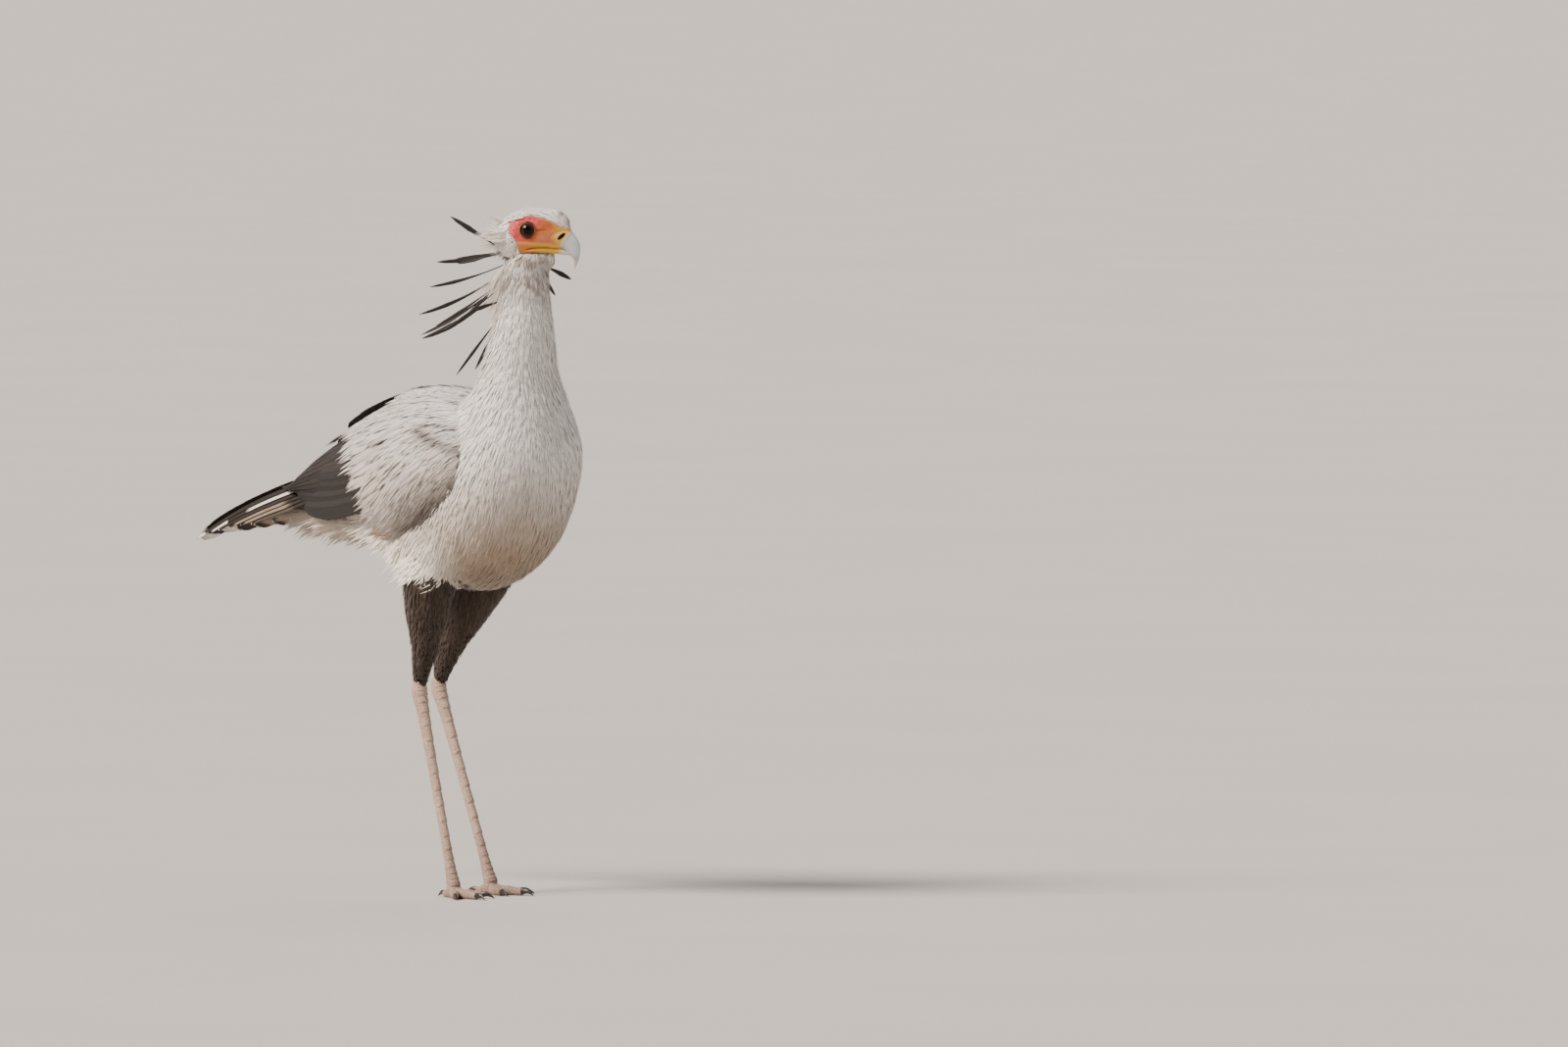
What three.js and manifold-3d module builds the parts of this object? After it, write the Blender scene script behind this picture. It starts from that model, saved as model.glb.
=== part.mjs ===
// A secretary bird standing alert, life size. Millimetres, +X ahead of the body, +Y to its left, +Z up,
// with the floor at Z = 0. It is drawn about a point between the feet, and moved at the end so that the
// origin is under the middle of its bounding box.
import * as THREE from "three";
import { mergeVertices } from "three/addons/utils/BufferGeometryUtils.js";
import Module from "manifold-3d";

const wasm = await Module();
wasm.setup();
const { Manifold, Mesh } = wasm;

const GAP = 0.3;
const RIGHT = -1;
const LEFT = 1;
const SIDES = [
  [RIGHT, "r"],
  [LEFT, "l"],
];

// Body outline, from the tail root forward along the trunk and up the neck. Each row is a section:
// back edge x and z, breast edge x and z, half width, and where between them it is widest.
const BODY = [
  [-342, 622, -342, 572, 12, 0.5],
  [-300, 646, -296, 556, 30, 0.5],
  [-248, 674, -242, 548, 48, 0.5],
  [-190, 702, -184, 534, 68, 0.5],
  [-120, 726, -106, 508, 90, 0.52],
  [-62, 746, -22, 474, 106, 0.54],
  [-18, 757, 62, 467, 114, 0.55],
  [20, 764, 138, 508, 114, 0.54],
  [42, 772, 186, 580, 108, 0.52],
  [56, 784, 208, 655, 96, 0.52],
  [64, 802, 202, 728, 79, 0.52],
  [72, 830, 188, 790, 62, 0.5],
  [79, 864, 178, 852, 50, 0.5],
  [86, 900, 175, 900, 43, 0.5],
  [91, 945, 172, 945, 38, 0.5],
  [97, 968, 166, 968, 34.5, 0.5],
  [109, 983, 154, 983, 21, 0.5],
];
const NAPE = { at: [131, 2], radius: 33 };
const BODY_STATIONS = 24;
const BODY_SIDES = 18;
const TAIL_ROOT_X = -226;
const FLANK = { at: [0, 60, 568], radii: [95, 48, 86] };
const NECK_BASE = { point: [60, 0, 786], normal: [0.18, 0, 0.98] };
const NECK_MIDDLE_Z = 884;

// Head, in its own frame: origin between the eyes, x towards the bill. Rows are the top and bottom
// edges of the profile, half width and level of greatest width.
const HEAD = { at: [134, 8, 1017], yaw: 37 };
const SKULL = [
  [-50, -2, -48, -20, 9, 0.5],
  [-45, 10, -42, -34, 19, 0.5],
  [-32, 22, -30, -43, 26, 0.5],
  [-14, 31, -14, -45, 28.5, 0.48],
  [6, 34, 4, -43, 28, 0.46],
  [24, 33, 22, -39, 24.5, 0.46],
  [40, 31, 38, -36, 18.5, 0.46],
  [52, 26, 50, -32, 12.5, 0.48],
  [59, 18, 57, -27, 9, 0.5],
  [62, 8, 61, -18, 5, 0.5],
];
const UPPER_BILL = [
  [32, 6, 28, -23, 22.8, 0.6],
  [45, 4.5, 38, -23.5, 18.8, 0.6],
  [58, 2, 49, -25.5, 13.8, 0.6],
  [66, -5, 57, -28.5, 10.8, 0.6],
  [72.5, -13.5, 62, -32, 8.4, 0.6],
  [76.5, -24, 65.5, -36, 6.2, 0.6],
  [76.8, -35, 67, -41.5, 4.2, 0.6],
  [74, -47, 67, -49, 2.6, 0.6],
  [68, -58.5, 66.6, -58, 0.9, 0.5],
];
const LOWER_BILL = [
  [-13, -31, -13, -36, 17, 0.5],
  [6, -26.5, 4, -37, 21, 0.5],
  [23, -23.5, 22, -36.5, 18, 0.5],
  [37, -25.2, 36, -36.5, 13, 0.5],
  [50, -28, 50, -37.5, 9, 0.5],
  [60, -31.5, 60, -38.5, 5.5, 0.5],
  [65.5, -35, 65, -39, 2.5, 0.5],
];
const CERE_EDGE = { point: [56, 0, -12.5], normal: [0.77, 0, -0.64] };
const NOSTRIL = { from: [47, -13], to: [54, -6], wide: 2.8, deep: 3.2 };
const EYE = { radius: 13.5, out: 20, lidRing: 11.8, lidThick: 1.7 };
// Edge of the bare face, seen from the side, clockwise from behind the eye.
const FACE = [
  [-28, 2],
  [-23, 12],
  [-12, 18.5],
  [4, 21],
  [20, 17.5],
  [34, 9.5],
  [50, 4],
  [60, 1],
  [54, -14],
  [48, -24],
  [24, -22],
  [4, -26],
  [-14, -31],
  [-16, -17],
  [-24, -7],
];
const FACE_DEEP = 7;

// Outlines of vanes: share of the length and of the half width.
const FLIGHT = [[0, 0.5], [0.35, 0.95], [0.72, 1], [0.93, 0.7], [1, 0.22]];
const COVERT = [[0, 0.5], [0.42, 1], [0.8, 0.92], [1, 0.34]];
const PLUME = [[0, 0.24], [0.38, 0.36], [0.78, 1], [1, 0.12]];
const LOCK = [[0, 0.9], [0.4, 1], [0.75, 0.7], [1, 0.1]];
const RECTRIX = [[0, 0.5], [0.4, 0.95], [0.86, 0.95], [1, 0.35]];

// Crest quills: root height, turn from straight behind the head towards its left, reach from the
// middle of the neck, height of the tip.
const HEAD_CREST = [
  [980, -8, 114, 1037],
  [986, -10, 103, 966],
  [984, 6, 140, 967],
  [988, 26, 128, 972],
];
const CREST = [
  [964, -22, 128, 926],
  [968, -6, 146, 930],
  [962, 14, 150, 893],
  [958, -14, 162, 889],
  [948, 2, 162, 857],
  [944, -26, 135, 862],
  [938, 12, 169, 850],
  [950, 26, 109, 888],
  [912, -20, 88, 892],
  [906, -6, 106, 796],
  [900, 14, 84, 804],
  [966, 64, 118, 944],
  [966, 128, 94, 940],
  [958, 116, 78, 915],
];
// A long quill sags between its root and its tip, and one shorter than straight arches.
const QUILL = { spoon: 4.8, thick: 1.1, sunk: 9, straight: 110, sag: 0.001 };
// Pale hackles at the nape, in the same terms, with the half width last.
const HEAD_HACKLES = [
  [1008, -18, 84, 1008, 5],
  [1012, 16, 76, 1020, 4.5],
  [994, 0, 80, 990, 5.5],
];
const HACKLES = [
  [968, -36, 64, 906, 6.5],
  [962, -12, 72, 892, 7],
  [958, 12, 72, 890, 7],
  [966, 38, 64, 904, 6.5],
  [930, -26, 60, 864, 6.5],
  [926, 0, 64, 856, 7],
  [930, 28, 60, 864, 6.5],
];

// Folded wing, as the surface of its outer side. Rows are evenly spaced along x: top edge, level of the
// widest point, lower edge, half width.
const WING = [
  [100, 744, 660, 628, 110],
  [20, 764, 640, 568, 124],
  [-60, 763, 628, 550, 122],
  [-140, 747, 622, 574, 106],
  [-220, 714, 620, 571, 84],
  [-300, 672, 620, 577, 60],
  [-380, 622, 613, 608, 30],
];
const WING_UNDER = 120;
const MIDLINE_GAP = 4;
const LEFT_WING_LOOSE = 12;
const WING_CORE = { front: 96, back: -158, columns: 8, rows: 5, thick: 17 };
const REMIGES = {
  count: 9,
  root: [-100, -112],
  rootAcross: [0.2, 0.86],
  tipAcross: [0.03, 0.97],
  tipX: -240,
  tipBulge: -126,
  half: 19,
  lifts: [-13, -7],
};
// Rows of coverts, from the rear forward: count, tip x at the top and bottom, length, slant across the
// wing, half width, lift at the tip.
const FEATHER = 1.1;
const COVERTS = [
  [7, -258, -108, 88, 0.1, 24, 2.4],
  [6, -182, -58, 88, 0.14, 27, 5],
];
const SCAPULARS = { count: 2, tip: [-128, -72], length: 90, half: 20, lift: 7.4 };

// Tail: six pairs, from the middle pair outwards.
const TAIL = {
  rootX: -228,
  rootZ: 653,
  fall: 0.23,
  droop: 41,
  tips: [-592, -552, -528, -496, -462, -430],
  half: [17, 18, 18, 17.5, 17, 16],
  apart: 7.6,
  drop: 8.2,
  lean: 20,
  thick: 1.2,
};
const VENT_COVERTS = {
  count: 5,
  rootX: -262,
  rootZ: 566,
  tip: [-376, -330],
  tipZ: 536,
  spread: 30,
  half: 19,
};

// Legs: thigh sections from the flank down to the hock, then the shank, by side. Rows are z, x, y,
// half length and half breadth.
const THIGH = {
  r: [
    [560, 8, -58, 48, 38],
    [500, -14, -58, 48, 37],
    [440, -27, -55, 36, 30],
    [385, -34, -52, 24, 20],
    [345, -44, -50, 17, 14],
    [322, -49, -49, 12, 10.5],
  ],
  l: [
    [560, 18, 58, 46, 36],
    [500, -8, 57, 46, 35],
    [440, -46, 53, 36, 29],
    [385, -80, 50, 25, 20],
    [345, -98, 48, 18, 14],
    [322, -105, 47, 12, 10.5],
  ],
};
const HOCK = { r: [-50, -49, 312], l: [-108, 47, 312] };
const FOOT = { r: [28, -52, 17], l: [4, 50, 17] };
const FOOT_YAW = { r: -9, l: 10 };
const SHANK_RADII = [
  [9.5, 9],
  [12.5, 11.5],
  [10, 8.5],
  [8, 7],
  [7.4, 6.6],
  [7.4, 6.8],
  [9, 8.6],
  [11.5, 11],
];
const SCUTES = { count: 10, from: 0.17, to: 0.92, proud: 1.3, step: 0.004 };
const SHANK_SIDES = 10;
// Toes: name, turn from straight ahead, length, radius at the root and at the claw.
const TOES = [
  ["inner", 33, 46, 7.6, 6],
  ["middle", 1, 60, 8, 6.2],
  ["outer", -32, 46, 7.4, 5.8],
  ["hind", 176, 25, 7.2, 6.2],
];
const CLAW = { length: 21, radius: 4.6, hook: 7 };

const vector = (p) => new THREE.Vector3(...p);
const mix = THREE.MathUtils.lerp;
const radians = THREE.MathUtils.degToRad;

// The row at share t of a table's length, on a smooth curve through every column.
function rowAt(rows, t) {
  const last = rows.length - 1;
  const place = THREE.MathUtils.clamp(t, 0, 1) * last;
  const i = Math.min(Math.floor(place), last - 1);
  const f = place - i;
  const row = (k) => rows[THREE.MathUtils.clamp(k, 0, last)];
  return rows[i].map((_, c) => {
    const [a, b] = [row(i)[c], row(i + 1)[c]];
    const leave = (b - row(i - 1)[c]) / 2;
    const arrive = (row(i + 2)[c] - a) / 2;
    const cubic = 2 * (a - b) + leave + arrive;
    return ((cubic * f + 3 * (b - a) - 2 * leave - arrive) * f + leave) * f + a;
  });
}

function solidOf(geometry) {
  const bare = geometry.clone();
  for (const name of ["normal", "uv"]) bare.deleteAttribute(name);
  const merged = mergeVertices(bare, 1e-4);
  const triVerts = new Uint32Array(merged.index.array);
  const vertProperties = new Float32Array(merged.attributes.position.array);
  const made = new Manifold(new Mesh({ numProp: 3, vertProperties, triVerts }));
  if (made.volume() > 0) return made;
  for (let i = 0; i < triVerts.length; i += 3) {
    [triVerts[i + 1], triVerts[i + 2]] = [triVerts[i + 2], triVerts[i + 1]];
  }
  return new Manifold(new Mesh({ numProp: 3, vertProperties, triVerts }));
}

function geometryOf(solid) {
  const mesh = solid.getMesh();
  const position = new Float32Array(mesh.numVert * 3);
  for (let i = 0; i < mesh.numVert; i++) {
    const from = i * mesh.numProp;
    position.set(mesh.vertProperties.subarray(from, from + 3), i * 3);
  }
  const geometry = new THREE.BufferGeometry();
  geometry.setAttribute("position", new THREE.BufferAttribute(position, 3));
  geometry.setIndex(new THREE.BufferAttribute(mesh.triVerts, 1));
  return geometry;
}

// The largest closed surface of a solid: what a cut leaves loose is dropped, and sealed hollows fill.
function wholeOf(solid) {
  return solid.decompose().reduce((best, s) => (s.volume() > best.volume() ? s : best));
}

function meshOf(points, index) {
  const geometry = new THREE.BufferGeometry();
  geometry.setFromPoints(points);
  geometry.setIndex(index);
  return solidOf(geometry);
}

// A closed skin over rings of equal count, fanned to the middle of the first and last ring.
function skinOver(rings) {
  const count = rings[0].length;
  const points = rings.flat();
  const index = [];
  for (let r = 0; r + 1 < rings.length; r++) {
    for (let k = 0; k < count; k++) {
      const a = r * count + k;
      const b = r * count + ((k + 1) % count);
      index.push(a, b, b + count, a, b + count, a + count);
    }
  }
  for (const r of [0, rings.length - 1]) {
    const middle = new THREE.Vector3();
    for (const p of rings[r]) middle.addScaledVector(p, 1 / count);
    points.push(middle);
    for (let k = 0; k < count; k++) {
      const a = r * count + k;
      const b = r * count + ((k + 1) % count);
      index.push(points.length - 1, ...(r ? [a, b] : [b, a]));
    }
  }
  return meshOf(points, index);
}

// A closed sheet between two grids of points, with its triangles alike on both faces.
function sheetBetween(top, bottom) {
  const [rows, columns] = [top.length, top[0].length];
  const under = rows * columns;
  const points = [...top.flat(), ...bottom.flat()];
  const index = [];
  const at = (r, c) => r * columns + c;
  for (let r = 0; r + 1 < rows; r++) {
    for (let c = 0; c + 1 < columns; c++) {
      const [p, q, s, t] = [at(r, c), at(r, c + 1), at(r + 1, c + 1), at(r + 1, c)];
      index.push(p, q, s, p, s, t, under + p, under + s, under + q, under + p, under + t, under + s);
    }
  }
  const wall = (p, q) => index.push(p, under + p, q, q, under + p, under + q);
  for (let r = 0; r + 1 < rows; r++) {
    wall(at(r + 1, 0), at(r, 0));
    wall(at(r, columns - 1), at(r + 1, columns - 1));
  }
  for (let c = 0; c + 1 < columns; c++) {
    wall(at(0, c), at(0, c + 1));
    wall(at(rows - 1, c + 1), at(rows - 1, c));
  }
  return meshOf(points, index);
}

// One section of a profile table: an oval between its back and breast edges, grown on every side.
function profileRing([bx, bz, vx, vz, half, widest], sides, grow) {
  const back = new THREE.Vector3(bx, 0, bz);
  const down = new THREE.Vector3(vx, 0, vz).sub(back);
  const depth = down.length();
  down.normalize();
  const centre = back.clone().addScaledVector(down, depth * widest);
  return Array.from({ length: sides }, (_, k) => {
    const angle = (k / sides) * 2 * Math.PI;
    const c = Math.cos(angle);
    const reach = (c > 0 ? depth * widest : depth * (1 - widest)) + grow;
    const p = centre.clone().addScaledVector(down, -c * reach);
    p.y = Math.sin(angle) * (half + grow);
    return p;
  });
}

function profileSkin(rows, stations, sides, grow = 0) {
  const rings = [];
  for (let i = 0; i <= stations; i++) rings.push(profileRing(rowAt(rows, i / stations), sides, grow));
  return skinOver(rings);
}

// A round limb through points, with a half width across and a half height for each.
function limb(path, radii, stations, sides, grow = 0) {
  const curve = new THREE.CatmullRomCurve3(path.map(vector));
  const rings = [];
  for (let i = 0; i <= stations; i++) {
    const t = i / stations;
    const along = curve.getTangent(t);
    const over = Math.abs(along.z) > 0.8 ? new THREE.Vector3(1, 0, 0) : new THREE.Vector3(0, 0, 1);
    const across = new THREE.Vector3().crossVectors(over, along).normalize();
    const high = new THREE.Vector3().crossVectors(along, across);
    const [wide, tall] = rowAt(radii, t);
    const ring = Array.from({ length: sides }, (_, k) => {
      const angle = (k / sides) * 2 * Math.PI;
      const p = curve.getPoint(t).addScaledVector(across, Math.sin(angle) * (wide + grow));
      return p.addScaledVector(high, Math.cos(angle) * (tall + grow));
    });
    rings.push(ring);
  }
  return skinOver(rings);
}

// A feather vane: a thin tapered sheet along a line that gives a point and the way out of the vane for
// each share of its length. The tilt lifts one edge over the next vane.
function vane(shape, lineAt, half, thick, tilt = 0) {
  const top = [];
  const bottom = [];
  const line = shape.map(([t]) => lineAt(t));
  line.forEach(({ point, out }, i) => {
    const before = line[Math.max(i - 1, 0)].point;
    const after = line[Math.min(i + 1, line.length - 1)].point;
    const along = after.clone().sub(before).normalize();
    const across = new THREE.Vector3().crossVectors(along, out).normalize();
    const wide = half * shape[i][1];
    const edge = (side, up) => {
      const p = point.clone().addScaledVector(across, side * wide);
      return p.addScaledVector(out, side * tilt * shape[i][1] + (up * thick) / 2);
    };
    top.push([edge(-1, 1), edge(1, 1)]);
    bottom.push([edge(-1, -1), edge(1, -1)]);
  });
  return sheetBetween(top, bottom);
}


function bodySkin(grow) {
  const flanks = SIDES.map(([side]) => {
    const [x, y, z] = FLANK.at;
    const ball = new THREE.SphereGeometry(1, 14, 8);
    ball.rotateX(Math.PI / 2);
    ball.scale(...FLANK.radii.map((r) => r + grow));
    ball.translate(x, side * y, z);
    return solidOf(ball);
  });
  return Manifold.union([profileSkin(BODY, BODY_STATIONS, BODY_SIDES, grow), ...flanks]);
}

const headToBird = new THREE.Matrix4()
  .makeRotationZ(radians(HEAD.yaw))
  .setPosition(vector(HEAD.at));

function inHead(solid) {
  return solid.transform(headToBird.elements);
}

// Feather that springs from the nape.
function napeVane([rootZ, turn, reach, tipZ], half, shape) {
  const heading = radians(HEAD.yaw + 180 - turn);
  const flat = new THREE.Vector3(Math.cos(heading), Math.sin(heading), 0);
  const root = new THREE.Vector3(...NAPE.at, rootZ).addScaledVector(flat, NAPE.radius - QUILL.sunk);
  const tip = new THREE.Vector3(...NAPE.at, tipZ).addScaledVector(flat, reach);
  const side = new THREE.Vector3(-flat.y, flat.x, 0);
  const out = tip.clone().sub(root).cross(side).normalize();
  if (out.z < 0) out.negate();
  const sag = root.distanceTo(tip) * (reach - QUILL.straight) * QUILL.sag;
  out.addScaledVector(side, 0.9).normalize();
  const lineAt = (t) => {
    const point = root.clone().lerp(tip, t);
    point.z -= 4 * sag * t * (1 - t);
    return { point, out };
  };
  return vane(shape, lineAt, half, QUILL.thick);
}

function crest(quills, hackles) {
  return [
    ...quills.map((row) => napeVane(row, QUILL.spoon, PLUME)),
    ...hackles.map((row) => napeVane(row, row[4], LOCK)),
  ];
}

// Bare face, cut from the skull along its outline on one side.
function faceBlock(side, grow) {
  const outline = new THREE.Shape();
  const middle = [12, -4];
  const moved = FACE.map(([x, z]) => {
    const away = new THREE.Vector2(x - middle[0], z - middle[1]);
    const longer = away.length() + grow;
    return away.setLength(longer).add(new THREE.Vector2(...middle));
  });
  outline.setFromPoints(moved);
  const block = new THREE.ExtrudeGeometry(outline, { depth: 40, bevelEnabled: false });
  block.rotateX(Math.PI / 2);
  block.translate(0, side < 0 ? -FACE_DEEP + grow : 40 + FACE_DEEP - grow, 0);
  return solidOf(block);
}

function ball(radius, [x, y, z], sides) {
  const sphere = new THREE.SphereGeometry(radius, sides, Math.round(sides * 0.7));
  sphere.rotateX(Math.PI / 2);
  sphere.translate(x, y, z);
  return solidOf(sphere);
}

function lidRing(side) {
  const ring = new THREE.TorusGeometry(EYE.lidRing, EYE.lidThick, 4, 13);
  ring.rotateX(Math.PI / 2);
  ring.scale(1, 1, 0.94);
  ring.translate(0, side * (EYE.out + 7.6), 0);
  return solidOf(ring);
}

function nostrilSlot(side) {
  const [from, to] = [NOSTRIL.from, NOSTRIL.to];
  const long = Math.hypot(to[0] - from[0], to[1] - from[1]);
  const slot = new THREE.CapsuleGeometry(NOSTRIL.wide / 2, long, 2, 6);
  slot.rotateZ(Math.PI / 2);
  slot.rotateY(-Math.atan2(to[1] - from[1], to[0] - from[0]));
  slot.scale(1, NOSTRIL.deep, 1);
  slot.translate((from[0] + to[0]) / 2, side * 13, (from[1] + to[1]) / 2);
  return solidOf(slot);
}

// Headpieces in the head's frame: skull, bare face, cere, horn, lower bill and eyes.
function headPieces() {
  const skull = profileSkin(SKULL, 12, 16);
  const upper = profileSkin(UPPER_BILL, 12, 12);
  const upperRoom = profileSkin(UPPER_BILL, 12, 12, GAP);
  const lower = profileSkin(LOWER_BILL, 7, 12);
  const lowerRoom = profileSkin(LOWER_BILL, 7, 12, GAP);
  const edge = vector(CERE_EDGE.normal).normalize();
  const reach = vector(CERE_EDGE.point).dot(edge);
  const horn = upper.trimByPlane(edge.toArray(), reach + GAP / 2);
  const nostrils = SIDES.map(([side]) => nostrilSlot(side));
  const cereWhole = upper.trimByPlane(edge.clone().negate().toArray(), GAP / 2 - reach);
  const cere = Manifold.difference([cereWhole, ...nostrils]);
  const pieces = { bill_upper: horn, cere };
  let rest = skull.subtract(upperRoom).subtract(lowerRoom);
  pieces.bill_lower = lower.subtract(upperRoom);
  for (const [side, tag] of SIDES) {
    const socket = ball(EYE.radius + GAP, [0, side * EYE.out, 0], 12);
    const face = Manifold.union([rest.intersect(faceBlock(side, 0)), lidRing(side)]);
    pieces["face_" + tag] = wholeOf(face.subtract(socket));
    pieces["eye_" + tag] = ball(EYE.radius, [0, side * EYE.out, 0], 12);
    rest = rest.subtract(faceBlock(side, GAP)).subtract(socket);
    rest = rest.subtract(lidRing(side).translate(0, side * GAP, 0));
  }
  pieces.head = wholeOf(rest);
  return pieces;
}

// Point on the folded wing's outer side: share across from the back edge to the lower edge, and lift.
function wingPoint(side, x, across, lift) {
  const share = (WING[0][0] - x) / (WING[0][0] - WING[WING.length - 1][0]);
  const [, top, widest, low, half] = rowAt(WING, share);
  const loose = side > 0 ? LEFT_WING_LOOSE * Math.sin(Math.PI * THREE.MathUtils.clamp(share, 0, 1)) ** 2 : 0;
  const drop = (low - widest) / WING_UNDER;
  const first = Math.asin(MIDLINE_GAP / half);
  const angle = mix(first, Math.PI / 2 - Math.asin(drop), across);
  const c = Math.cos(angle);
  const high = c > 0 ? top + loose - widest : WING_UNDER;
  const z = widest + c * (high + lift);
  return new THREE.Vector3(x, side * (half + lift) * Math.sin(angle), z);
}

// A vane on the folded wing, from its sunk root to its lifted tip, each given as x and share across.
function wingVane(side, shape, root, tip, lifts, half, tilt) {
  const lineAt = (t) => {
    const x = mix(root[0], tip[0], t);
    const across = mix(root[1], tip[1], t);
    const lift = mix(lifts[0], lifts[1], Math.min(1, 2.4 * t));
    const point = wingPoint(side, x, across, lift);
    const ahead = wingPoint(side, x + 5, across, lift).sub(wingPoint(side, x - 5, across, lift));
    const lower = wingPoint(side, x, across + 0.02, lift).sub(point);
    const out = new THREE.Vector3().crossVectors(ahead, lower).normalize();
    if (out.y * side < 0) out.negate();
    return { point, out };
  };
  return vane(shape, lineAt, half, FEATHER, side * tilt);
}

function wingVanes(side) {
  const vanes = [];
  for (let i = 0; i < REMIGES.count; i++) {
    const f = i / (REMIGES.count - 1);
    const root = [mix(...REMIGES.root, f), mix(...REMIGES.rootAcross, f)];
    const tip = [REMIGES.tipX + REMIGES.tipBulge * Math.sin(Math.PI * f), mix(...REMIGES.tipAcross, f)];
    vanes.push(wingVane(side, FLIGHT, root, tip, REMIGES.lifts, REMIGES.half, 2));
  }
  for (const [count, topX, lowX, length, slant, half, lift] of COVERTS) {
    for (let i = 0; i < count; i++) {
      const f = i / (count - 1);
      const tip = [mix(topX, lowX, f), mix(0.04, 0.97, f)];
      const root = [tip[0] + length * (1 - 0.25 * f), Math.max(tip[1] - slant * (0.4 + f), 0.02)];
      vanes.push(wingVane(side, COVERT, root, tip, [-4, lift], half, 2.4));
    }
  }
  for (let i = 0; i < SCAPULARS.count; i++) {
    const f = i / (SCAPULARS.count - 1);
    const tip = [mix(...SCAPULARS.tip, f), mix(0.03, 0.3, f)];
    const root = [tip[0] + SCAPULARS.length, mix(0.04, 0.16, f)];
    vanes.push(wingVane(side, COVERT, root, tip, [-4, SCAPULARS.lift], SCAPULARS.half, 2.4));
  }
  return vanes;
}

function wingCore(side) {
  const { front, back, columns, rows, thick } = WING_CORE;
  const grid = (lift) =>
    Array.from({ length: rows }, (_, r) => {
      const x = mix(front, back, r / (rows - 1));
      return Array.from({ length: columns }, (_, c) => wingPoint(side, x, c / (columns - 1), lift));
    });
  return sheetBetween(grid(0), grid(-thick));
}

function wing(side, room) {
  const whole = Manifold.union([wingCore(side), ...wingVanes(side)]);
  return wholeOf(whole.subtract(room).trimByPlane([0, side, 0], MIDLINE_GAP / 4));
}

// Height of the middle pair along the tail.
function tailTop(x) {
  const away = (x - TAIL.rootX) / (TAIL.tips[0] - TAIL.rootX);
  return TAIL.rootZ + (x - TAIL.rootX) * TAIL.fall - TAIL.droop * away ** 3;
}

function rectrix(pair, side) {
  const tipX = TAIL.tips[pair];
  const out = new THREE.Vector3(0, side * Math.sin(radians(TAIL.lean)), Math.cos(radians(TAIL.lean)));
  const lineAt = (t) => {
    const x = mix(TAIL.rootX, tipX, t);
    const open = Math.min(1, 0.35 + 0.9 * t);
    const y = side * (5 + TAIL.apart * pair) * open;
    const z = tailTop(x) - TAIL.drop * pair * open;
    return { point: new THREE.Vector3(x, y, z), out };
  };
  return vane(RECTRIX, lineAt, TAIL.half[pair], TAIL.thick, side * 1.5);
}

function ventCovert(i) {
  const f = (i / (VENT_COVERTS.count - 1)) * 2 - 1;
  const tipX = mix(...VENT_COVERTS.tip, Math.abs(f));
  const out = new THREE.Vector3(0, f * 0.8, -1).normalize();
  const rise = Math.abs(f) * 13;
  const lineAt = (t) => {
    const x = mix(VENT_COVERTS.rootX, tipX, t);
    const z = mix(VENT_COVERTS.rootZ, VENT_COVERTS.tipZ, Math.sqrt(t)) + rise;
    return { point: new THREE.Vector3(x, f * VENT_COVERTS.spread * (0.6 + 0.5 * t), z), out };
  };
  return vane(LOCK, lineAt, VENT_COVERTS.half, TAIL.thick);
}

function tail(root) {
  const pieces = [root];
  for (let pair = 0; pair < TAIL.tips.length; pair++) {
    for (const [side] of SIDES) pieces.push(rectrix(pair, side));
  }
  for (let i = 0; i < VENT_COVERTS.count; i++) pieces.push(ventCovert(i));
  return wholeOf(Manifold.union(pieces));
}

function thigh(tag, grow) {
  const rows = THIGH[tag];
  const rings = [];
  for (let i = 0; i <= 7; i++) {
    const [z, x, y, long, broad] = rowAt(rows, i / 7);
    const ring = Array.from({ length: 14 }, (_, k) => {
      const angle = (k / 14) * 2 * Math.PI;
      const [dx, dy] = [Math.cos(angle) * (long + grow), Math.sin(angle) * (broad + grow)];
      return new THREE.Vector3(x + dx, y + dy, z);
    });
    rings.push(ring);
  }
  return skinOver(rings);
}

function shankPath(tag) {
  const [hock, foot] = [HOCK[tag], FOOT[tag]];
  const above = [hock[0] + 3, hock[1], hock[2] + 16];
  const at = (t) => hock.map((v, i) => mix(v, foot[i], t));
  return [above, hock, at(0.12), at(0.35), at(0.6), at(0.82), at(0.94), foot];
}

// The shank, whose front carries overlapping scutes: each stands proud at its lower edge.
function shank(tag, grow) {
  const curve = new THREE.CatmullRomCurve3(shankPath(tag).map(vector));
  const stations = [[0, 0], [0.05, 0], [0.09, 0], [0.13, 0], [SCUTES.from, 0]];
  for (let i = 0; i < SCUTES.count; i++) {
    const lower = mix(SCUTES.from, SCUTES.to, (i + 1) / SCUTES.count);
    stations.push([lower - SCUTES.step, SCUTES.proud], [lower, 0]);
  }
  stations.push([1, 0]);
  const rings = stations.map(([t, proud]) => {
    const along = curve.getTangent(t);
    const across = new THREE.Vector3(0, 1, 0).cross(along).cross(along).normalize();
    const ahead = new THREE.Vector3().crossVectors(across, along);
    if (ahead.x < 0) ahead.negate();
    const [long, broad] = rowAt(SHANK_RADII, t);
    return Array.from({ length: SHANK_SIDES }, (_, k) => {
      const angle = (k / SHANK_SIDES) * 2 * Math.PI;
      const c = Math.cos(angle);
      const out = grow + (grow || c > 0.4 ? proud : 0);
      const p = curve.getPoint(t).addScaledVector(ahead, c * (long + out));
      return p.addScaledVector(across, Math.sin(angle) * (broad + out));
    });
  });
  return skinOver(rings);
}

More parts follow.
